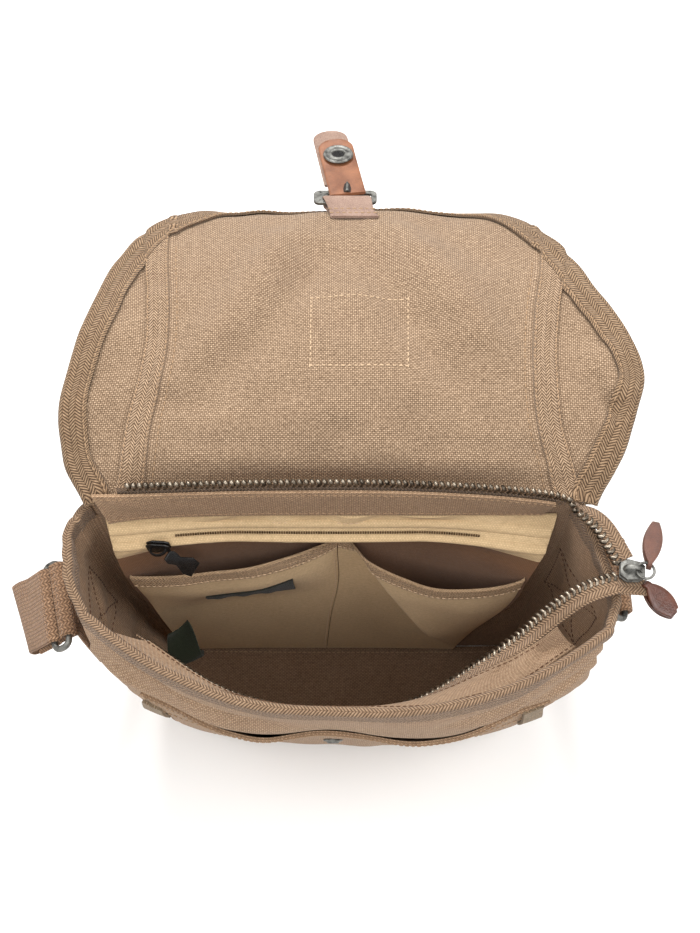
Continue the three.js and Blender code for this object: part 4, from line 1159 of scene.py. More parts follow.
@dataclass
class FlapForm:
    """The flap thrown back, by distance across and distance from the hinge."""

    seam: float = 120.0
    start: float = 1.2
    length: float = 200.0
    tilt: float = 8.0
    bend: Table = table("q slope", [
        [0, 44], [20, 33], [60, 18], [110, 3], [156, -9], [175, -22], [189, -54], [203, -82]])
    edge: Table = table("q left right", [
        [-3, 135, 127], [2, 137, 129], [17, 148, 141], [33, 153, 153], [50, 157, 161], [66, 158, 165],
        [84, 156, 160], [103, 150, 149], [122, 143, 135], [140, 134, 124], [157, 123, 113], [172, 108, 100],
        [185, 86, 82], [195, 54, 52]])
    pull: Table = table("q left right", [
        [0, 1.03, 1.065], [18, 0.995, 1.02], [40, 0.965, 0.965], [75, 0.9, 0.95], [105, 0.895, 0.975],
        [140, 0.925, 1.03], [200, 0.96, 1.05]])
    profile: Table = field(init=False)
    corners: Array = field(init=False)
    outline: Array = field(init=False)

    def __post_init__(self) -> None:
        """Work out the profile and the outline."""
        rows, y, z = [], BACK_Y - CANVAS / 2, BODY_HEIGHT
        for q in range(int(self.length) + 7):
            rows.append([q, y, z])
            slope = math.radians(float(self.bend.smooth("q", "slope", q + 0.5)))
            y, z = y + math.cos(slope), z + math.sin(slope)
        self.profile = Table("q y z", rows)
        q, left, right = self.edge.columns("q", "left", "right").T
        middle = np.array([[0.0, self.length, 0.0]])
        self.corners = np.concatenate([vec(-left, q, 0), middle, vec(right, q, 0)[::-1]])
        self.outline = spline(self.corners, np.linspace(0, 1, 801))

    def middle(self, p: Array, q: Array) -> Array:
        """Points of the flap's middle layer.

        Args:
            p: Distance across.
            q: Distance from the hinge.

        Returns:
            The points.
        """
        side = np.sign(p)
        across = np.minimum(np.abs(p), self.seam)
        ear = np.abs(p) - across
        slope = np.radians(self.bend.smooth("q", "slope", q))
        tilt = math.radians(self.tilt)
        pull = np.where(side < 0, self.pull.smooth("q", "left", q), self.pull.smooth("q", "right", q))
        ear_lift = math.sin(tilt) * (np.hypot(ear, 6) - 6)
        crown = 5 * (1 - (across / self.seam) ** 2) * bump(q, 85, 60)
        fold = 2.5 * bump(np.abs(p), 12 + (self.length - q) * 0.42, 14) * bump(q, 120, 50)
        droop = np.where(side > 0, -5 * (across / self.seam) ** 2 * (q / self.length) ** 3, 0)
        lift = crown + fold + droop + ear_lift + self.folds(p, q)
        before = np.minimum(q, 0)
        y = self.profile.smooth("q", "y", q) + before * np.cos(slope)
        z = self.profile.smooth("q", "z", q) + before * np.sin(slope)
        x = side * (across * pull + ear * math.cos(tilt))
        return vec(x, y - lift * np.sin(slope), z + lift * np.cos(slope))

    @staticmethod
    def folds(p: Array, q: Array) -> Array:
        """Soft folds of the flap.

        Args:
            p: Distance across.
            q: Distance from the hinge.

        Returns:
            Heights of the folds.
        """
        free = np.clip(q / 25, 0, 1)
        waves = 0.75 * ripple(p, q, 62, 41) + 0.3 * ripple(p, q, 24, 42)
        vees = 6.5 * crease(p, q, (20, 172), (98, 70), 12) + 5.5 * crease(p, q, (-20, 174), (-106, 58), 12)
        vees = vees - 6.0 * crease(p, q, (4, 146), (72, 50), 12)
        vees = vees - 5.0 * crease(p, q, (-6, 148), (-88, 40), 12)
        seams = 0.9 * bump(np.abs(p), 104.6, 1.7) - 1.0 * bump(np.abs(p), 121, 2.5)
        dent = -3.5 * crease(p, q, (150, 40), (138, 68), 5) + 1.5 * crease(p, q, (154, 52), (144, 84), 6)
        hollow = -10.0 * bump(q, 8, 8) * bump(p, 0, 84)
        return free * (waves + vees + seams + dent) + np.clip(q / 4, 0, 1) * hollow

    def at(self, p: Array, q: Array, h: Array) -> Array:
        """Points off the flap's middle layer."""
        return lifted(self.middle, *together(p, q, h))

    def lip(self, p: Array) -> Array:
        """Distance of the far edge from the hinge, by distance across."""
        far = self.outline[self.outline[:, 1] > 118]
        return np.interp(p, far[:, 0], far[:, 1])

    def ear(self, q: Array, side: Side) -> Array:
        """Distance of the side edge from the middle."""
        half = self.outline[:401] if side is Side.LEFT else self.outline[::-1][:401]
        return side.value * np.interp(q, half[:, 1], half[:, 0])


@dataclass
class Flap:
    """Panel, ears, seam tapes, edge binding and patch of the flap."""

    form: FlapForm
    sewing: Sewing
    patch: Tuple[float, float, float, float] = (-21.5, 37.0, 69.5, 113.5)
    past_hinge: float = 3.0
    ear_ends: Dict[Side, float] = field(default_factory=lambda: {Side.LEFT: 150.0, Side.RIGHT: 136.0})
    tape_ends: Dict[Side, float] = field(default_factory=lambda: {Side.LEFT: 136.0, Side.RIGHT: 120.0})

    def build(self) -> None:
        """Make all pieces of the flap."""
        form, half = self.form, CANVAS / 2

        def panel_place(u: Array, v: Array) -> Array:
            """Flat place on the panel.

            Args:
                u: Share of the way across.
                v: Share of the way from the hinge.

            Returns:
                Distance across and distance from the hinge.
            """
            p = mix(-form.seam - 1, form.seam + 1, u)
            reach = form.lip(p) - GAP - form.start
            return np.stack([p, form.start + reach * (1 - (1 - v) ** 1.3)], axis=1)

        def panel(u: Array, v: Array, h: float) -> Array:
            """Layer of the panel."""
            return form.at(*panel_place(u, v).T, h)
        piece = register(cloth("flap_panel_cloth", panel, 170, 130, -half, half, "flap", flat=panel_place),
                         "flap_canvas", "flap_panel")
        for side in Side:
            self.ear(side)
        self.binding()
        self.sew_patch()

    def ear(self, side: Side) -> None:
        """Make one ear and its seam tape.

        Args:
            side: Side of the ear.
        """
        form, half, name = self.form, CANVAS / 2, side.name.lower()

        def place(u: Array, v: Array) -> Array:
            """Flat place on the ear."""
            q = mix(-self.past_hinge, self.ear_ends[side], v)
            return np.stack([side.value * mix(form.seam + 1, form.ear(q, side) - GAP, u), q], axis=1)

        def layer(u: Array, v: Array, h: float) -> Array:
            """Layer of the ear."""
            return form.at(*place(u, v).T, h)
        piece = register(cloth(f"flap_ear_{name}_cloth", layer, 30, 100, -half, half, "flap", flat=place),
                         "flap_canvas", f"flap_ear_{name}")
        low = half + GAP
        end = self.tape_ends[side] + (22 if side is Side.LEFT else 28)

        def tape(u: Array, v: Array, h: float) -> Array:
            """Seam tape on the inner face.

            Args:
                u: Share of the way across.
                v: Share of the way from the hinge.
                h: Distance off the surface.

            Returns:
                The points.
            """
            p = mix(form.seam - TAPE_WIDTH - 1.5, form.seam + 0.6, u)
            round_edge = np.where(np.abs(2 * u - 1) > 0.97, -0.35, 0) if h > low else 0
            return form.at(side.value * p, mix(0.5, end, v), h + round_edge)

        def tape_place(u: Array, v: Array) -> Array:
            """Flat place on the tape."""
            return np.stack([u * 14.8, v * end], axis=1)
        piece = cloth(f"flap_seam_tape_{name}_cloth", tape, 20, 110, low - 0.3, low + TAPE + 0.3,
                      "seam_tape", flat=tape_place)
        register(piece, "tape", f"flap_seam_tape_{name}")
        line = np.linspace(0.01, 0.99, 160)
        runs = [surface_run(tape, u, line, low + TAPE + 0.42) for u in (0.1, 0.9)]

        def beside(u: Array, v: Array, h: float) -> Array:
            """Panel by distance from the seam."""
            return form.at(side.value * (form.seam - u), mix(5, end - 8, v), h)
        runs.append(surface_run(beside, 17.5, line, half + 0.15))
        self.sewing.sew(f"flap_seam_stitches_{name}", runs, "tape", 50 + side.value)

    def binding(self) -> None:
        """Fold the binding over the flap's edge and sew it."""
        form = self.form
        t = np.linspace(0, 1, 520)
        at = spline(form.corners, t)
        ahead = unit(spline(form.corners, np.minimum(t + 1e-3, 1))
                     - spline(form.corners, np.maximum(t - 1e-3, 0)))
        section = channel_section(TAPE_WIDTH, 2 * GAP)
        narrow = 1 - 0.45 * bump(at[:, 0], 0, 75) * (at[:, 1] > 150)

        def flat(depth: float) -> Tuple[Array, Array]:
            """Places at a depth inside the edge."""
            return at[:, 0] + ahead[:, 1] * depth * narrow, at[:, 1] - ahead[:, 0] * depth * narrow
        rings = np.stack([form.at(*flat(d), h) for d, h in section], axis=1)
        length = run_length(rings[:, 8])
        across = run_length(vec(section[:, 0], section[:, 1], 0))
        piece = loft("flap_edge_binding_tape", rings, across, length, "edge_tape")
        register(piece, "tape", "flap_edge_binding")
        over = CANVAS / 2 + 2 * GAP + TAPE + 0.5
        runs = []
        for h in (over, -over):
            points = form.at(*flat(TAPE_WIDTH - 1.8), h)
            runs.append((points, unit(points - form.at(*flat(TAPE_WIDTH - 1.8), 0))))
        self.sewing.sew("flap_edge_stitches", runs, "tape", 53)

    def sew_patch(self) -> None:
        """Make the patch on the outer face, and sew it through the flap."""
        form, half = self.form, CANVAS / 2
        p0, p1, q0, q1 = self.patch

        def surface(u: Array, v: Array, h: float) -> Array:
            """Flap at the patch."""
            return form.at(mix(p0, p1, u), mix(q0, q1, v), h)
        low, high = -half - GAP - TAPE, -half - GAP + 0.3
        piece = cloth("flap_patch_cloth", surface, 50, 40, low, high, "flap", (p1 - p0, q1 - q0))
        register(piece, "flap_canvas", "flap_patch")
        line = np.linspace(0.03, 0.97, 60)
        sides = ((line, 0.03), (line, 0.97), (0.02, line), (0.98, line))
        runs = []
        for h, flip in ((half + 0.2, 1.0), (low - 0.2, -1.0)):
            runs += [surface_run(surface, u, v, h, flip) for u, v in sides]
        self.sewing.sew("flap_patch_stitches", runs, "flap_canvas", 54, "pale_thread")


# Inside


@dataclass(frozen=True)
class SlipPocket:
    """One open pocket on the lining."""

    name: str
    start: float
    end: float
    outer: float
    inner: float
    sag: float
    forward: float


@dataclass
class Inside:
    """Lining, slip pockets, closed zip pocket, label and tag."""

    sewing: Sewing
    tree: RepeatTree
    foot: float = 4.0
    split: float = 178.5
    zip_height: float = 191.0
    top: float = 201.0
    edges: Table = table("z left right leftForward rightForward", [
        [4, -109, 74, 1, 1], [60, -114, 85, 8, 8], [120, -118, 99, 15, 17], [165, -124, 104, 19, 21],
        [186, -128, 111, 12, 14], [201, -131, 116, 0, 0]])
    pockets: Tuple[SlipPocket, ...] = (
        SlipPocket("left", 0.01, 0.525, 163, 177, 6, 13), SlipPocket("right", 0.527, 0.99, 164, 177, 11, 21))
    tape_start: float = 0.93

    def lining(self, u: Array, z: Array) -> Array:
        """Points of the lining.

        Args:
            u: Share of the way across.
            z: Height.

        Returns:
            The points.
        """
        get = {name: self.edges.smooth("z", name, z) for name in self.edges.names[1:]}
        left = get["leftForward"] * np.maximum(0, 1 - u / 0.3) ** 1.6
        right = get["rightForward"] * np.maximum(0, (u - 0.7) / 0.3) ** 1.6
        hang = 1.5 * bump(z, 110, 60)
        pouch = 7.5 * np.maximum(np.sin(np.pi * u), 0) ** 0.4 * bump(z, 186, 6.5)
        return vec(mix(get["left"], get["right"], u),
                   BACK_Y - CANVAS - 2 * GAP - left - right - hang - pouch, z)

    def pocket(self, pocket: SlipPocket, u: Array, v: Array, h: float) -> Array:
        """Points of a slip pocket.

        Args:
            pocket: The pocket.
            u: Share of the way across.
            v: Share of the way up.
            h: Distance off the surface.

        Returns:
            The points.
        """
        s = u if pocket.name == "left" else 1 - u
        top = mix(pocket.outer, pocket.inner, s**1.4) - pocket.sag * np.sin(np.pi * u)
        at = self.lining(mix(pocket.start, pocket.end, u), mix(5, top, v))
        belly = np.maximum(np.sin(np.pi * u), 0) ** 0.8
        if pocket.name == "right":
            fold = (at[:, 0] - 4) * 0.916 + (at[:, 2] - 172) * 0.4
            belly = belly * ease((fold + 3) / 9) * mix(0.65, 1.0, v) * np.clip(5 * v, 0, 1)
        else:
            belly = belly * ease((v - 0.56) / 0.3)
        soft = 0.5 * ripple(at[:, 0], at[:, 2], 40, 61) * belly
        at[:, 1] -= LINING + GAP + pocket.forward * belly + h + soft
        return at

    def build(self) -> None:
        """Make all that is sewn inside the back."""
        def lining(u: Array, v: Array, h: float) -> Array:
            """Face of the lining.

            Args:
                u: Share of the way across.
                v: Share of the way up.
                h: Distance off the surface.

            Returns:
                The points.
            """
            at = self.lining(u, mix(self.foot, self.top, v))
            near_zip = bump(at[:, 2], self.zip_height, 4)
            soft = 1.2 * (1 - 0.9 * near_zip) * np.maximum(ripple(at[:, 0], at[:, 2], 27, 62), -0.5)
            soft = soft * np.clip((at[:, 2] - 179) / 6, 0, 1)
            at[:, 1] -= h + (soft if h > 0 else 0)
            return at
        split = (self.split - self.foot) / (self.top - self.foot)

        def behind(u: Array, v: Array, h: float) -> Array:
            """Lining behind the pockets."""
            return lining(u, v * split, h)

        def yoke(u: Array, v: Array, h: float) -> Array:
            """Lining above the pockets."""
            return lining(u, mix(split + 0.001, 1, v), h)

        def tape_place(u: Array, v: Array) -> Array:
            """Flat place on the tape of a pocket's mouth."""
            return np.stack([v * 11, u * 118], axis=1)
        piece = cloth("lining_back_cloth", behind, 130, 84, 0, LINING, "shaded_lining", (236, 168))
        register(piece, "lining", "lining_back")
        piece = register(cloth("lining_yoke_cloth", yoke, 130, 30, 0, LINING, "lining", (236, 24)), "lining")
        line = np.linspace(0.01, 0.99, 120)
        runs = [surface_run(lining, line, 0.975, LINING + 0.15)]
        for pocket in self.pockets:
            def body(u: Array, v: Array, h: float, pocket: SlipPocket = pocket) -> Array:
                """Pocket below the tape of its mouth."""
                return self.pocket(pocket, u, v * self.tape_start, h)

            def band(u: Array, v: Array, h: float, pocket: SlipPocket = pocket) -> Array:
                """Tape along the mouth."""
                return self.pocket(pocket, u, mix(self.tape_start + 0.003, 1, v), h)
            name = f"slip_pocket_{pocket.name}"
            piece = register(cloth(name + "_cloth", body, 70, 80, 0, LINING, "lining", (114, 146)),
                             "lining", name)
            node = f"slip_tape_{pocket.name}"
            tape = cloth(node + "_cloth", band, 70, 6, -0.3, LINING + 0.6, "inner_tape", flat=tape_place)
            register(tape, "tape", node)
            runs.append(surface_run(band, line, 0.14, LINING + 0.75))
        beside = partial(self.pocket, self.pockets[0])
        runs.append(surface_run(beside, 0.985, line * 0.95, LINING + 0.2))
        self.sewing.sew("inside_stitches", runs, "lining", 63, "pale_thread")
        self.label_and_tag()
        self.zip_pocket()

    def label_and_tag(self) -> None:
        """Make the plain label on the left pocket and the plain tag at the side."""
        def label(u: Array, v: Array, h: float) -> Array:
            """Face of the label.

            Args:
                u: Share of the way across.
                v: Share of the way up.
                h: Distance off the surface.

            Returns:
                The points.
            """
            up = 0.765 + mix(-1, 1, v) * (0.024 + 0.055 * u**2)
            wave = 1.2 * np.sin(11 * u) ** 2 * np.sin(np.pi * v)
            return self.pocket(self.pockets[0], mix(0.307, 0.771, u), up, h + wave)
        low, high = LINING + 0.1, LINING + GAP + 0.8
        piece = cloth("inside_label_cloth", label, 30, 12, low, high, "label", (54, 26))
        register(piece, "label", "inside_label")

        def tag(u: Array, v: Array, h: float) -> Array:
            """Face of the tag.

            Args:
                u: Share of the way across.
                v: Share of the way down.
                h: Distance off the surface.

            Returns:
                The points.
            """
            across = (u - 0.5) * (11 + 10 * np.sin(np.pi * v) ** 0.7)
            x = -100 + 6 * np.sin(2.6 * v) - 5 * v + across
            y = -2 - 9 * np.sin(np.pi * v) + 6 * u + 3.5 * np.sin(8 * v + 2 * u) - h
            return vec(x, y, mix(108, 62, v) + 5 * np.sin(np.pi * u) * (2 * v - 1))
        register(cloth("side_tag_cloth", tag, 10, 24, 0, 1, "tag", (20, 40)), "tag", "side_tag")

    def zip_pocket(self) -> None:
        """Make the closed zip of the inside pocket."""
        tooth = small_shape("fine_tooth_shape",
                            [(-0.5, 0.8, 0.4), (-0.3, 1.1, 0.7), (0.3, 1.1, 0.7), (0.5, 0.8, 0.4)], 6)
        u = np.linspace(0.15, 0.84, 200)
        path = self.lining(u, np.full_like(u, self.zip_height)) - np.array([0, LINING + 1.5, 0])
        teeth = self.tree.along("pocket_zip_teeth_row", [(path, np.array([0.0, -1.0, 0.0]))], tooth, 1.35,
                                "fine_zip", 0.05, 64)
        bpy.data.objects.remove(tooth)
        register(teeth, "zip_metal", "pocket_zip_teeth")
        on_lining = self.lining(np.array([0.11]), np.array([self.zip_height - 1.5]))[0]
        on_lining = on_lining - np.array([0, LINING + 5, 0])
        slider_body("pocket_zip_slider_body", placed(on_lining, (1, -0.06, 0.12), (0, 0, 1)), 13, 10, 3.2,
                    "black", "pocket_zip_slider")
        hang = unit(np.array([0.72, -0.12, -0.68]))
        pull = placed(on_lining + hang * 15 - np.array([0, 2.6, 0]), hang, (0.435, 0.63, 0.349))
        half = [(-9, 2.8), (-6, 4.0), (-1, 2.6), (6, 5.4), (11, 4.4)]
        outline = [(x, -y) for x, y in half] + half[::-1]
        piece = bevelled("pocket_zip_pull_plate", pull, outline, 1.6, 0.4, "black")
        register(piece, "black_metal", "pocket_zip_pull")
        for name, low, high in (("upper", 192.9, 196.5), ("lower", 185.5, 189.1)):
            def lip(u: Array, v: Array, h: float, low: float = low, high: float = high) -> Array:
                """Folded edge of the yoke beside the zip."""
                at = self.lining(mix(0.004, 0.996, u), mix(low, high, v))
                return at - vec(0, LINING + h + 0.9 * np.sin(np.pi * v) * np.clip(h, 0, 1), 0)
            register(cloth(f"zip_lip_{name}", lip, 90, 6, -0.2, 1.3, "lining", (226, 4)), "lining")


# Zip


@dataclass
class ZipHalf:
    """One toothed edge of the main zip, from its left end to the slider."""

    rows: Table

    def at(self, t: Array, offset: float) -> Tuple[Array, Array]:
        """Points beside the toothed edge.

        Args:
            t: Place along the edge.
            offset: Distance towards the tape.

        Returns:
            The points, and the way the tape runs there.
        """
        line = self.rows.columns("x", "y", "z")
        side = unit(self.rows.columns("sideX", "sideY", "sideZ"))
        ahead = unit(spline(line, np.minimum(t + 1e-3, 1)) - spline(line, np.maximum(t - 1e-3, 0)))
        across = spline(side, t)
        across = unit(across - ahead * np.sum(across * ahead, axis=1, keepdims=True))
        return spline(line, t) + across * offset, across


@dataclass
class MainZip:
    """Tapes, teeth, plackets, slider and leathers of the main zip."""

    body: BodyForm
    sewing: Sewing
    tree: RepeatTree
    tape: float = 8.0
    chain: float = 2.6
    pitch: float = 3.24
    lap: float = 2.4
    placket_foot: float = 202.5
    back: ZipHalf = field(default_factory=lambda: ZipHalf(Table("x y z sideX sideY sideZ", [
        [-121, 32.4, 230, 0, -0.1, -1], [-40, 33, 233, 0, -0.1, -1], [40, 33, 232, 0, -0.1, -1],
        [110, 30, 226, 0.1, -0.05, -1], [123, 22, 222, 0.6, 0.2, -0.6], [133, 14, 218, 0.8, 0.5, -0.1],
        [139, 3, 216.5, 0.9, 0.3, 0], [143, -6, 216, 0.5, 0.9, 0]])))
    front: ZipHalf = field(default_factory=lambda: ZipHalf(Table("x y z sideX sideY sideZ", [
        [-112, -27, 166, 0, -0.3, 1], [-60, -58, 163, 0, -0.4, 1], [0, -69, 164, 0, -0.4, 1],
        [38, -63, 167, 0, -0.5, 0.9], [72, -45, 176, 0.2, -0.8, 0.6], [92, -34, 186, 0.3, -1, 0.2],
        [107, -25, 201, 0.4, -0.9, -0.3], [124, -17, 212, 0.2, -1, -0.1], [143, -12, 216, 0.1, -1, 0]])))

    def build(self) -> None:
        """Make the whole zip."""
        tooth = chevron("tooth_shape", 1.6, 2.8, 1.4)
        for name, half in (("back", self.back), ("front", self.front)):
            t = np.linspace(0, 0.985, 320)
            at, across = half.at(t, self.chain / 2 + GAP + self.tape / 2 - 0.8)
            piece = strip(f"zip_tape_{name}_cloth", at, across * (self.tape / 2 + 0.8), 1.0, "tape", 0.06)
            register(piece, "tape", f"zip_tape_{name}")
            at, across = half.at(t[t > 0.012], 0.3)
            up = unit(np.cross(np.gradient(at, axis=0), across))
            teeth = self.tree.along(f"zip_teeth_{name}_row", [(at, up)], tooth, self.pitch, "zip", 0.05, 70)
            register(teeth, "zip_metal", f"zip_teeth_{name}")
        bpy.data.objects.remove(tooth)
        tail = np.array([(139, -17, 215), (145, -17.2, 213), (152, -17, 211.6), (158, -16.8, 209.9)], float)
        at = spline(tail, np.linspace(0, 1, 40))
        across = np.broadcast_to(np.array([0.4, 4.5, 0.0]), at.shape)
        register(strip("zip_tape_tail_cloth", at, across, 1.0, "tape", 0.06), "tape")
        self.plackets()
        self.slider()
        self.leathers()

    def plackets(self) -> None:
        """Make the cloth strips that carry the two tapes."""
        hidden = self.chain / 2 + 2 * GAP + self.tape

        def back(u: Array, v: Array, h: float) -> Array:
            """Strip on the back, lapped over the tape.

            Args:
                u: Share of the way across.
                v: Share of the way to the zip.
                h: Distance off the surface.

            Returns:
                The points.
            """
            t = mix(-0.026, 0.44, u)
            top = self.back.at(np.maximum(t, 0), self.chain / 2 + self.lap)[0] - np.array([0, 2.2, 0])
            top[:, 0] += np.minimum(t, 0) * 500
            foot_y = BACK_Y - CANVAS - 3 * GAP - 5.5 * (1 - u) ** 8
            foot = vec(top[:, 0] + 6 * (1 - u) ** 9 - 4 * u**9, foot_y, self.placket_foot)
            soft = 0.35 * ripple(top[:, 0], 30 * v, 30, 71) * np.sin(np.pi * v)
            return mix(foot, top, v[:, None]) - vec(0, h + np.maximum(soft, 0), 0)

        def front(u: Array, v: Array, h: float) -> Array:
            """Strip on the front.

            Args:
                u: Share of the way across.
                v: Share of the way to the zip.
                h: Distance off the surface.

            Returns:
                The points.
            """
            free = self.front.at(mix(0.02, 0.735, u), hidden + 1)[0]
            along = mix(1.03, 1.955, u**0.96)
            sewn = self.body.wall(along, self.body.top(along) - 15, -CANVAS - 2 * GAP - TAPE - CANVAS)
            sag = 3 * np.sin(np.pi * v) + 0.6 * ripple(250 * u, 25 * v, 30, 72) * np.sin(np.pi * v)
            return mix(sewn, free, v[:, None]) + vec(0, h * 0.8, h * 0.6 - sag)
        line = np.linspace(0.005, 0.995, 160)
        for name, surface, size, finish, thread in (("back", back, (240, 26), "placket", "thread"),
                                                    ("front", front, (250, 20), "canvas", "dark_thread")):
            piece = register(cloth(f"{name}_placket_cloth", surface, 140, 14, 0, CANVAS, finish, size),
                             "canvas", f"{name}_placket")
            runs = [surface_run(surface, line, v, CANVAS + 0.15) for v in (0.1, 0.9)]
            self.sewing.sew(f"{name}_placket_stitches", runs, "canvas", 73, thread)

    def slider(self) -> None:
        """Make the slider and the ring of its pull."""
        place = placed((150, -10, 216), (1, -0.12, -0.04), (0.12, 1, 0))
        slider_body("zip_slider_body", place, 13, 12, 4.4, "metal", "zip_slider")
        ring = placed((156.4, -11.2, 219.5), (1, -0.12, 0.02), (0.12, 1, 0))
        turn = np.linspace(0, 2 * np.pi, 48, endpoint=False)
        round_wire = np.linspace(0, 2 * np.pi, 12, endpoint=False)
        radius = 4.5 + 0.7 * np.cos(round_wire)
        rings = vec(radius[None] * np.cos(turn)[:, None], radius[None] * np.sin(turn)[:, None],
                    0.7 * np.sin(round_wire)[None])
        piece = loft("zip_pull_ring_wire", moved(ring, rings), round_wire, turn * 4.5, "metal", True)
        register(piece, "metal", "zip_pull_ring")

    def leathers(self) -> None:
        """Make the leather pull and the leather at the zip's end."""
        def leaf(length: float, tip: float, middle: float) -> Callable[[Array], Array]:
            """Half width of a leaf by distance from its eye."""
            return lambda s: tip + (middle - tip) * np.sin(np.pi * np.minimum(s / length, 1)) ** 0.8
        pull = Doubled(bar=np.array([158.7, -7.3, 219.5]), out=unit(np.array([-0.22, -0.97, -0.12])),
                       up=unit(np.array([0, -0.12, 0.97])), side=np.array([0.97, -0.22, 0]),
                       half_width=leaf(24, 1.2, 5), radius=2.4, lower=23, upper=23, thickness=1.6,
                       closed=1.2)
        register(pull.build("zip_pull_leather_leaf", "pull_leather"), "dark_leather", "zip_pull_leather")
        out, up = unit(np.array([0.7, -0.66, -0.26])), unit(np.array([0.25, -0.1, 0.96]))
        end = Doubled(bar=np.array([158.5, -16.5, 209.6]), out=-out, up=up, side=unit(np.cross(out, up)),
                      half_width=leaf(20.5, 2.2, 6.8), radius=2.4, lower=20, upper=18.5, thickness=1.8,
                      closed=1.2)
        register(end.build("zip_end_tab_leaf", "dark_leather"), "dark_leather", "zip_end_tab")


@dataclass
class Doubled:
    """A strip doubled round a bar, its two layers closed up behind it."""

    bar: Array
    out: Array
    up: Array
    side: Array
    half_width: Callable[[Array], Array]
    radius: float
    lower: float
    upper: float
    thickness: float
    closed: float

    def path(self) -> Array:
        """Local run of the strip, as distance out and up."""
        low = [(-mix(self.lower, 2.4 * self.radius, k / 4), -self.closed) for k in range(4)]
        angle = np.radians(np.linspace(-100, 100, 7))
        turn = [(self.radius * math.cos(a), self.radius * math.sin(a)) for a in angle]
        high = [(-mix(2.4 * self.radius, self.upper, (k + 1) / 4), self.closed) for k in range(4)]
        return spline(np.array(low + turn + high), np.linspace(0, 1, 120))

    def build(self, name: str, finish: str) -> bpy.types.Object:
        """Make the strip.

        Args:
            name: Name of the piece.
            finish: Key of the finish.

        Returns:
            The object.
        """
        local = self.path()
        at = self.bar + local[:, :1] * self.out + local[:, 1:] * self.up
        half = self.half_width(np.maximum(-local[:, 0], 0))
        return strip(name, at, self.side * half[:, None], self.thickness, finish, 0.14)


# Hardware


def placed(at: Sequence[float], x_axis: Sequence[float], y_axis: Sequence[float]) -> Matrix:
    """A place whose axes lie along the given directions, in millimetres.

    Args:
        at: Origin of the place.
        x_axis: The way its x axis points.
        y_axis: A way near its y axis.

    Returns:
        The place.
    """
    x = Vector(x_axis).normalized()
    z = x.cross(Vector(y_axis)).normalized()
    turn = Matrix((x, z.cross(x), z)).transposed().to_4x4()
    return Matrix.Translation(Vector(at)) @ turn


def moved(place: Matrix, points: Array) -> Array:
    """Move points to a place."""
    m = np.array(place)
    return points @ m[:3, :3].T + m[:3, 3]


def bevelled(name: str, place: Matrix, outline: Sequence[Tuple[float, float]], depth: float, bevel: float,
             finish: str) -> bpy.types.Object:
    """A flat plate with rounded edges.

    Args:
        name: Name of the piece.
        place: Where it goes.
        outline: Corners of the plate.
        depth: Thickness.
        bevel: Size of the rounding.
        finish: Key of the finish.

    Returns:
        The object.
    """
    bm = bmesh.new()
    face = bm.faces.new([bm.verts.new((x, y, -depth / 2)) for x, y in outline])
    grown = bmesh.ops.extrude_face_region(bm, geom=[face])["geom"]
    bmesh.ops.translate(bm, verts=[v for v in grown if isinstance(v, bmesh.types.BMVert)], vec=(0, 0, depth))
    bmesh.ops.recalc_face_normals(bm, faces=bm.faces)
    bmesh.ops.bevel(bm, geom=list(bm.edges), offset=bevel, segments=3, profile=0.5, affect="EDGES")
    bm.transform(place)
    points = np.array([v.co for v in bm.verts])
    bm.verts.index_update()
    faces = [[v.index for v in f.verts] for f in bm.faces]
    bm.free()
    return make_object(name, points, faces, points[:, :2].copy(), finish, 60.0)


def joined(name: str, *objects: bpy.types.Object) -> bpy.types.Object:
    """Join objects into one.

    Args:
        name: Name of the piece.
        *objects: The objects, of which the first stays.

    Returns:
        The joined object.
    """
    with bpy.context.temp_override(active_object=objects[0], selected_editable_objects=list(objects)):
        bpy.ops.object.join()
    objects[0].name = name
    objects[0].data.name = name
    return objects[0]


def slider_body(name: str, place: Matrix, length: float, width: float, depth: float, finish: str,
                node: str) -> None:
    """Make a zip slider of two shield plates and an arch.

    Args:
        name: Name of the piece.
        place: Where it goes.
        length: Length along the zip.
        width: Width across it.
        depth: Thickness.
        finish: Key of the finish.
        node: CAD node that it stands for.
    """
    half = [(-0.5, 0.3), (-0.2, 0.5), (0.3, 0.42), (0.5, 0.26)]
    shield = [(x * length, -y * width) for x, y in half] + [(x * length, y * width) for x, y in half[::-1]]
    plates = []
    for z in (-0.31, 0.31):
        at = place @ Matrix.Translation((0, 0, z * depth))
        plates.append(bevelled(name + "_plate", at, shield, depth * 0.38, 0.45, finish))
    core = [(x * 0.5, y * 0.35) for x, y in shield]
    plates.append(bevelled(name + "_core", place, core, depth * 0.6, 0.2, finish))
    angle = np.linspace(0, np.pi, 24)
    middle = vec(length * 0.345 * np.cos(angle), 0, length * 0.285 * np.sin(angle) + depth / 2)
    out = vec(np.cos(angle), 0, np.sin(angle))
    around = np.linspace(0, 2 * np.pi, 10, endpoint=False)
    rings = middle[:, None] + out[:, None] * (0.055 * length * np.cos(around))[None, :, None]
    rings = rings + vec(0, width * 0.12 * np.sin(around), 0)[None]
    plates.append(loft(name + "_arch", moved(place, rings), around, angle * length, finish))
    register(joined(name, *plates), FINISHES[finish].slot, node)


def lathe(name: str, place: Matrix, profile: Sequence[Tuple[float, float]], sides: int,
          finish: str) -> bpy.types.Object:
    """A closed profile turned round an axis.

    Args:
        name: Name of the piece.
        place: Where it goes.
        profile: Radius and height of each corner.
        sides: Steps round the axis.
        finish: Key of the finish.

    Returns:
        The object.
    """
    turn = np.linspace(0, 2 * np.pi, sides, endpoint=False)
    radius, height = np.array(profile).T
    rings = vec(np.cos(turn)[:, None] * radius[None], np.sin(turn)[:, None] * radius[None], height[None])
    return loft(name, moved(place, rings), run_length(vec(radius, height, 0)), turn * 5, finish, True, 50.0)


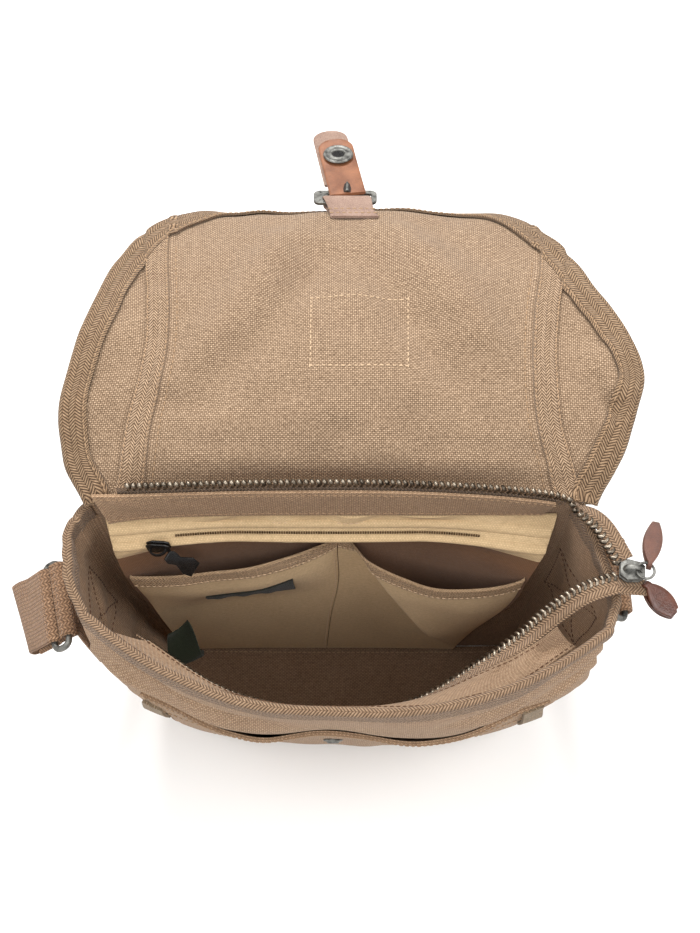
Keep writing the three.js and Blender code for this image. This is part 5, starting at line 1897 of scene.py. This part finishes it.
def rounded_path(width: float, height: float, corner: float, steps: int) -> Tuple[Array, Array, Array]:
    """Path round a rectangle with rounded corners.

    Args:
        width: Width of the rectangle.
        height: Height of the rectangle.
        corner: Radius of its corners.
        steps: Steps round each corner.

    Returns:
        Both coordinates of each point, and the angle of the way outward there.
    """
    path = []
    for quarter in range(4):
        cx = (1 if quarter in (0, 3) else -1) * (width / 2 - corner)
        cy = (1 if quarter < 2 else -1) * (height / 2 - corner)
        for k in range(steps + 1):
            angle = (quarter + k / steps) * math.pi / 2
            path.append((cx + corner * math.cos(angle), cy + corner * math.sin(angle), angle))
    x, y, angle = np.array(path).T
    return x, y, angle


def wire_loop(name: str, place: Matrix, width: float, height: float, wire: float,
              finish: str) -> bpy.types.Object:
    """A rounded rectangular loop of round wire.

    Args:
        name: Name of the piece.
        place: Where it goes.
        width: Width between the wire's middles.
        height: Height between the wire's middles.
        wire: Thickness of the wire.
        finish: Key of the finish.

    Returns:
        The object.
    """
    x, y, angle = rounded_path(width, height, min(width, height) * 0.42, 12)
    around = np.linspace(0, 2 * np.pi, 16, endpoint=False)
    r = wire / 2 * np.cos(around)[None]
    rings = vec(x[:, None] + r * np.cos(angle)[:, None], y[:, None] + r * np.sin(angle)[:, None],
                (wire / 2 * np.sin(around))[None])
    return loft(name, moved(place, rings), around, np.arange(len(x)) * 1.0, finish, True)


# Front pocket


@dataclass
class FrontPocket:
    """Wide pocket on the front, with corner tabs and a snap socket."""

    body: BodyForm
    sewing: Sewing
    start: float = POCKET_START
    end: float = POCKET_END
    foot: float = 10.0
    middle: float = 150.0
    gape: float = 6.2
    belly: float = 1.5

    def surface(self, u: Array, v: Array, h: Array) -> Array:
        """Points of the pocket.

        Args:
            u: Share of the way across.
            v: Share of the way up.
            h: Distance off the surface.

        Returns:
            The points.
        """
        along = mix(self.start, self.end, u)
        dips = 5 * bump(u, 0.28, 0.14) + 4 * bump(u, 0.68, 0.16)
        top = self.middle - dips + 6 * np.abs(2 * u - 1) ** 3
        gape = mouth_gape(u)
        belly = self.belly * np.sin(np.pi * v) * np.sin(np.pi * u)
        soft = np.maximum(0.5 * ripple(220 * u, 140 * v, 46, 81) + 0.5, 0)
        soft = soft * np.sin(np.pi * u) * np.clip(3 * v, 0, 1)
        sewn = np.clip(30 * np.minimum(np.minimum(u, 1 - u), v), 0, 1)
        loose = 1 - 0.85 * ease((v - 0.8) / 0.2) * (1 - np.minimum(gape, 1))
        return self.body.wall(along, mix(self.foot, top, v),
                              loose * (sewn + belly + soft) + self.gape * gape * v**2 + h)

    def build(self) -> None:
        """Make the pocket and what is on it."""
        def hemmed(u: Array, v: Array, h: Array) -> Array:
            """Pocket with its hem turned in double."""
            return self.surface(u, v, h + (np.where(v > 0.915, 0.7, 0.0) if h > 0 else 0))
        piece = register(cloth("front_pocket_cloth", hemmed, 150, 100, 0, CANVAS, "canvas", (236, 142)),
                         "canvas", "front_pocket")
        line = np.linspace(0.012, 0.988, 150)
        rows = [(line, 0.92, 1.0), (line, 0.985, 1.0), (0.012, line, 0.3), (0.988, line, 0.3),
                (line, 0.015, 0.3)]
        runs = [surface_run(self.surface, u, v, CANVAS + lift) for u, v, lift in rows]
        self.sewing.sew("front_pocket_stitches", runs, "canvas", 82)
        for name, along, foot in (("left", 1.12, 122), ("right", 1.87, 128)):
            def tab(u: Array, v: Array, h: float, along: float = along, foot: float = foot) -> Array:
                """Tab over a corner of the pocket."""
                out = h + 0.7 * np.sin(np.pi * v)
                return self.body.wall(along + mix(-0.02, 0.02, u), foot + 24 * v, out)
            register(cloth(f"pocket_corner_{name}_tab", tab, 14, 24, 3.0, 4.8, "corner", (11, 24)),
                     "webbing", f"pocket_corner_{name}")
        centre = self.surface(np.array([0.47]), np.array([0.72]), CANVAS + GAP + 1.2)[0]
        socket = placed(centre, (1, 0, 0), (0, -0.25, 0.97))
        profile = [(0.01, -1.2), (5.6, -1.2), (5.6, -0.5), (5.0, -0.1), (3.6, 0.1), (3.4, 0.8), (3.1, 1.1),
                   (0.01, 1.1)]
        register(lathe("snap_socket_cap", socket, profile, 40, "metal"), "metal", "snap_socket")


# Closure


@dataclass
class Closure:
    """Leather tab, buckle and closing strap at the lip of the flap."""

    sewing: Sewing
    slope: float = -13.0
    bar: Tuple[float, float, float] = (1.5, 211.5, 246.6)
    lean: float = -0.145
    half_width: float = 10.7

    def axes(self) -> Tuple[Array, Array, Array]:
        """The ways out, up and across."""
        down = math.radians(self.slope)
        out = unit(np.array([-0.02, math.cos(down), math.sin(down)]))
        return out, np.array([0, -math.sin(down), math.cos(down)]), np.array([1.0, 0, 0])

    def layer(self, start: float, end: float, above: float, shift: float, curl: float) -> Tuple[Array, Array]:
        """Middle and half width of one layer of the closing strap.

        Args:
            start: Where the layer starts along the strap.
            end: Where it ends.
            above: Height over the bar.
            shift: Shift to the side.
            curl: Rise of the far end.

        Returns:
            Middle of the layer and the vector to its edge, at each place.
        """
        out, up, side = self.axes()
        lean = unit(out + side * self.lean)
        across = unit(np.cross(lean, up)) * self.half_width
        s = np.linspace(start, end, 90)
        near = np.maximum(0, (s - (end - 9)) / 9)
        width = np.sqrt(np.maximum(1 - 0.98 * near**2.8, 0.02))
        origin = np.array(self.bar) + out * 6
        at = origin + s[:, None] * lean + side * shift + up * (above + curl * (s[:, None] / end) ** 3)
        return at, across * width[:, None]

    def build(self) -> None:
        """Make the closure."""
        out, up, side = self.axes()
        bar = np.array(self.bar)
        slant = unit(out - 0.25 * side)
        tab = Doubled(bar=bar, out=slant, up=up, side=side, half_width=lambda s: 14.0 - 0.8 * np.sin(s / 5),
                      radius=3.2, lower=8, upper=16, thickness=1.8, closed=1.4)
        register(tab.build("buckle_tab_leather", "flesh"), "flesh", "buckle_tab")
        line = np.linspace(-12.5, 12.5, 40)
        rows = [(bar - slant * back + up * (1.4 + 1.05) + line[:, None] * side, up) for back in (9.0, 13.0)]
        self.sewing.sew("buckle_tab_stitches", rows, "flesh", 91)
        upper = strip("closure_strap_leather", *self.layer(-2.6, 50, 3.3, 0, 2), 2.0, "leather", 0.12)
        register(upper, "leather", "closure_strap")
        lower = strip("closure_backing_leather", *self.layer(10.8, 64, 0.9, -1.2, 1), 2.0, "flesh", 0.12)
        register(lower, "flesh", "closure_backing")
        self.buckle(bar, out, up, side)
        self.snap(out, up, side)

    def buckle(self, bar: Array, out: Array, up: Array, side: Array) -> None:
        """Make the frame and the prong of the buckle.

        Args:
            bar: Middle of the buckle's bar.
            out: The way out from the flap.
            up: The way up.
            side: The way across.
        """
        width, length, wire = 37.0, 12.0, 2.6
        place = placed(bar + out * (length / 2 - wire / 2) - side * 1.2, side, out)
        sections = np.array([(-1.9, -0.75), (-1.9, 0.75), (-1.5, 1.1), (1.0, 1.1), (1.4, 0.75),
                             (1.4, -0.75), (1.0, -1.1), (-1.5, -1.1)])
        x, y, angle = rounded_path(width - 2.8, length - wire, 2.2, 6)
        depth = np.where(sections[:, 0] < 0, sections[:, 0], 0)[None] * np.where(x < 0, 2.6, 0.0)[:, None]
        rings = vec(x[:, None] + np.cos(angle)[:, None] * (sections[None, :, 0] + depth),
                    y[:, None] + np.sin(angle)[:, None] * sections[None, :, 0], sections[None, :, 1])
        steps = np.arange(len(x)) * 1.0
        piece = loft("buckle_frame_bars", moved(place, rings), sections[:, 0], steps, "metal", True, 30.0)
        register(piece, "metal", "buckle_frame")
        prong = placed(bar + out * 7.5 + up * 5.4, side, out)
        outline = [(-1.0, -3.6), (1.0, -3.6), (0.8, 3.0), (0.5, 5.0), (-0.5, 5.0), (-0.8, 3.0)]
        register(bevelled("buckle_prong_bar", prong, outline, 1.4, 0.35, "metal"), "metal", "buckle_prong")
        # A near-black leather plate stands for the slot under the prong: painted shade where the hole falls
        # dark.
        slot = placed(bar + out * 7.5 + up * 4.5, side, out)
        hole = [(-2.0, -3.4), (2.0, -3.4), (2.3, 0.0), (1.6, 4.4), (0.0, 6.4), (-1.6, 4.4), (-2.3, 0.0)]
        register(bevelled("prong_slot_leather", slot, hole, 0.5, 0.12, "slot_leather"), "dark_leather")

    def snap(self, out: Array, up: Array, side: Array) -> None:
        """Make the snap button on the strap.

        Args:
            out: The way out from the flap.
            up: The way up.
            side: The way across.
        """
        lean = unit(out + side * self.lean)
        reach = 33.6
        above = 5.3 + 2 * (reach / 46) ** 3
        place = placed(np.array(self.bar) + out * 6 + lean * reach + up * above, side, out)
        profile = [(3.5, -0.1), (8.8, -0.1), (9.0, 0.4), (8.7, 0.95), (8.2, 1.2), (7.6, 1.1), (7.2, 0.85),
                   (5.4, 1.05), (4.6, 1.25), (4.0, 1.15), (3.7, 0.8)]
        register(lathe("snap_button_ring", place, profile, 56, "metal"), "metal", "snap_button")
        # A black disc fills the middle of the ring: painted shade for the hole's dark inside.
        hole = [(0.01, -0.1), (3.7, -0.1), (3.7, 0.3), (0.01, 0.3)]
        register(lathe("snap_button_hole", place, hole, 40, "black"), "black_metal")


# Carrying


@dataclass(frozen=True)
class SideTab:
    """A webbing tab sewn to a side, with the ring that it holds."""

    side: Side
    along: float
    foot: float
    sewn: float
    sewn_y: float
    bar: Tuple[float, float, float]
    swing: Tuple[float, float]
    skew: float


@dataclass
class Hook:
    """A bar that webbing turns round, the vector across the webbing and the way out."""

    bar: Array
    across: Array
    out: Array

    def eye(self, radius: float, start: float, end: float) -> Tuple[Array, Array]:
        """Part of a turn of webbing round the bar.

        Args:
            radius: Radius of the turn.
            start: First angle in degrees.
            end: Last angle in degrees.

        Returns:
            Middle of the webbing and the vector across it, at each place.
        """
        angle = np.radians(np.linspace(start, end, 28))[:, None]
        at = self.bar + self.out * radius * np.cos(angle) + np.array([0, 0, 1.0]) * radius * np.sin(angle)
        return at, np.broadcast_to(self.across, at.shape)


@dataclass
class Carrying:
    """Side tabs, rings and the shoulder strap."""

    body: BodyForm
    sewing: Sewing
    eye: float = 3.5
    stand_off: float = 3.1
    tabs: Tuple[SideTab, ...] = (
        SideTab(Side.LEFT, 0.54, 110, 152, 2, (-157, -4, 164), (8.8, -5.4), -0.24),
        SideTab(Side.RIGHT, 2.66, 112, 156, 12, (148, 12, 168), (8.2, -6.4), 0.0))
    strap: Table = table("x y z acrossX acrossY acrossZ", [
        [-177.5, -6, 148.5, -0.24, 1, 0], [-183.5, -5, 141.5, -0.3, 1, 0], [-186, -4, 135, -0.36, 0.93, 0],
        [-182, -1, 129.5, -0.3, 1, 0], [-169, 10, 119, -0.1, 1, 0], [-154, 24, 102, 0, 1, 0],
        [-146, 33, 70, -0.15, 1, 0.1], [-147, 45, 36, -0.5, 0.75, 0.35], [-151, 70, 11, -0.9, 0.3, 0.2],
        [-152, 106, 2.4, -1, 0, 0], [-136, 152, 1.9, -0.9, 0.45, 0], [-95, 191, 1.9, -0.55, 0.85, 0],
        [-40, 212, 1.9, -0.2, 1, 0], [0, 216, 1.9, 0, 1, 0], [40, 212, 1.9, 0.2, 1, 0],
        [95, 191, 1.9, 0.55, 0.85, 0], [136, 152, 1.9, 0.9, 0.45, 0], [152, 106, 2.4, 1, 0, 0],
        [150, 70, 11, 0.9, 0.3, 0.2], [144, 46, 36, 0.5, 0.75, 0.35], [144, 32, 70, 0.15, 1, 0.1],
        [150, 22, 110, 0, 1, 0], [156.5, 14, 146, 0, 1, 0]])

    def clear_of_wall(self, tab: SideTab, z: float, clear: float) -> Array:
        """A place off the side wall that the whole width of the webbing clears.

        Args:
            tab: The tab.
            z: Height.
            clear: Distance kept from the wall.

        Returns:
            The place.
        """
        near = self.body.at(np.clip(tab.along + np.arange(-4, 5) * 0.09, 0, 3), np.full(9, z))
        reach = (near[:, 0] * tab.side.value).max()
        return np.array([tab.side.value * (reach + clear), tab.sewn_y, z])

    def build(self) -> None:
        """Make the tabs, the rings and the strap."""
        hooks = {tab.side: self.tab(tab) for tab in self.tabs}
        self.shoulder_strap(hooks[Side.LEFT], hooks[Side.RIGHT])
        self.box_stitches()

    def tab(self, tab: SideTab) -> Hook:
        """Make one tab and its ring, and return the hook for the strap.

        Args:
            tab: The tab.

        Returns:
            The hook for the strap.
        """
        name, half, outward = tab.side.name.lower(), STRAP_WIDTH / 2, tab.side.value
        across = unit(np.array([tab.skew, 1.0, 0])) * half
        out = unit(np.array([outward, -outward * tab.skew, 0]))
        hook = Hook(np.array(tab.bar, dtype=float), across, out)
        straight = np.array([0, half, 0])
        rising = [self.clear_of_wall(tab, z, self.stand_off) for z in np.linspace(tab.foot, tab.sewn, 5)]
        turn = hook.eye(self.eye, 205, -25)[0][::4]
        low = self.clear_of_wall(tab, tab.sewn - 2, self.stand_off + WEBBING + 1.4)
        knots = np.array(rising + list(turn) + [low])
        ways = np.array([straight] * len(rising) + [across] * len(turn) + [straight])
        t = np.linspace(0, 1, 150)
        piece = strip(f"side_tab_{name}_webbing", spline(knots, t), spline(ways, t), WEBBING, "webbing", 0.05)
        register(piece, "webbing", f"side_tab_{name}")
        swing = out * tab.swing[0] + np.array([0, 0, tab.swing[1]])
        place = placed(hook.bar + swing / 2 - unit(across) * 1.3, across, swing)
        height = float(np.linalg.norm(swing))
        ring = wire_loop(f"ring_{name}_wire", place, STRAP_WIDTH + 6.5, height, 3.6, "metal")
        register(ring, "metal", f"ring_{name}")
        face = [knots[k] + np.array([outward * (WEBBING / 2 + 0.15), 0, 0]) for k in range(5)]
        runs = []
        for y in (-half + 3, half - 3):
            runs.append((np.array(face) + np.array([0, y, 0]), np.array([outward, 0.0, 0])))
        for a, b in ((0, 4), (4, 0)):
            ends = np.array([face[a] + np.array([0, -half + 3, 0]), face[b] + np.array([0, half - 3, 0])])
            path = mix(ends[:1], ends[1:], np.linspace(0, 1, 20)[:, None])
            path[:, 0] = np.interp(path[:, 2], [p[2] for p in face], [p[0] for p in face])
            runs.append((path, np.array([outward, 0.0, 0])))
        self.sewing.sew(f"side_tab_{name}_stitches", runs, "webbing", 95)
        return Hook(hook.bar + swing, across, out)

    def shoulder_strap(self, left: Hook, right: Hook) -> None:
        """Make the strap from ring to ring.

        Args:
            left: Hook at the left ring.
            right: Hook at the right ring.
        """
        t = np.linspace(0, 1, 700)
        line = spline(self.strap.columns("x", "y", "z"), t)
        across = unit(spline(self.strap.columns("acrossX", "acrossY", "acrossZ"), t)) * (STRAP_WIDTH / 2)
        first = left.bar + left.out * 9.8 + np.array([0, 0, -10])
        last = right.bar - right.out * 2.6 + np.array([0, 0, -12])
        eye_left, eye_right = left.eye(self.eye, 222, 42), right.eye(self.eye, 0, 180)
        at = np.concatenate([first[None], eye_left[0], line, eye_right[0], last[None]])
        ways = np.concatenate([left.across[None], eye_left[1], across, eye_right[1], right.across[None]])
        place = run_length(at)
        steps = np.linspace(0, place[-1], 900)
        at = np.stack([np.interp(steps, place, at[:, k]) for k in range(3)], axis=1)
        ways = np.stack([np.interp(steps, place, ways[:, k]) for k in range(3)], axis=1)
        piece = strip("shoulder_strap_webbing", at, ways, WEBBING, "webbing", 0.05)
        register(piece, "webbing", "shoulder_strap")
        LOG.info("shoulder strap: %.0f mm", place[-1])

    def box_stitches(self) -> None:
        """Sew the crossed boxes of the tabs through the sides."""
        runs = []

        def inner(along: Array, z: Array, h: float) -> Array:
            """Inner face of the side."""
            return self.body.wall(along, z, -CANVAS + h)
        s = np.linspace(0, 1, 40)
        for low, high, foot, top in ((0.26, 0.86, 110, 160), (2.34, 2.94, 114, 160)):
            across, rise = mix(low, high, s), mix(foot, top, s)
            for along, z in ((across, foot), (across, top), (low, rise), (high, rise), (across, rise),
                             (across, mix(top, foot, s))):
                runs.append(surface_run(inner, along, z, -0.2, -1.0))
        self.sewing.sew("gusset_box_stitches", runs, "canvas", 96, "dark_thread")


# Studio


@dataclass
class Studio:
    """Floor, light and camera."""

    eye: Tuple[float, float, float] = (3.0, -290.8, 835.3)
    elevation: float = 61.0
    lens: float = 50.16
    floor: float = 4000.0
    drop: float = 0.05
    aim: Tuple[float, float, float] = (0.0, 0.05, 0.15)

    def build(self) -> None:
        """Set the floor, the lights and the camera."""
        far, low = self.floor, -self.drop
        corners = np.array([(-far, -far, low), (far, -far, low), (far, far, low), (-far, far, low)])
        floor = make_object("studio_floor", corners, [(0, 1, 2, 3)], np.zeros((4, 2)), "thread")
        g = Graph("studio_white")
        g.set(Base_Color=(0.93, 0.925, 0.915, 1), Roughness=0.9)
        floor.data.materials[0] = g.material
        world = bpy.data.worlds.new("studio_world")
        bpy.context.scene.world = world
        world.use_nodes = True
        world.node_tree.nodes["Background"].inputs[0].default_value = (1, 0.99, 0.975, 1)
        world.node_tree.nodes["Background"].inputs[1].default_value = 0.46
        lamps = (("back", (-0.15, 1.0, 1.5), 0.7, 28), ("front", (-0.2, -1.0, 1.45), 1.0, 12),
                 ("right", (1.0, -0.2, 1.5), 0.9, 14), ("left", (-1.0, -0.1, 1.4), 0.9, 8))
        for name, at, size, power in lamps:
            light = bpy.data.lights.new(name, "AREA")
            light.energy, light.size = power, size
            lamp = bpy.data.objects.new(name, light)
            lamp.location = at
            lamp.rotation_euler = (Vector(self.aim) - Vector(at)).to_track_quat("-Z", "Y").to_euler()
            bpy.context.scene.collection.objects.link(lamp)
        bpy.context.scene.view_settings.view_transform = "Standard"
        camera = bpy.data.cameras.new("camera")
        camera.lens, camera.sensor_width = self.lens, 36.0
        camera.clip_start, camera.clip_end = 0.01, 20
        obj = bpy.data.objects.new("camera", camera)
        obj.location = Vector(self.eye) * MM
        obj.rotation_euler = (math.radians(90 - self.elevation), 0, 0)
        bpy.context.scene.collection.objects.link(obj)
        bpy.context.scene.camera = obj


def main() -> None:
    """Build the pieces in order."""
    logging.basicConfig(level=logging.INFO, format="%(name)s: %(message)s")
    tree = RepeatTree()
    sewing = Sewing(tree)
    body = BodyForm()
    Studio().build()
    Body(body, sewing).build()
    Flap(FlapForm(), sewing).build()
    Inside(sewing, tree).build()
    MainZip(body, sewing, tree).build()
    FrontPocket(body, sewing).build()
    Closure(sewing).build()
    Carrying(body, sewing).build()
    sewing.clear()


if __name__ == "__main__":
    main()
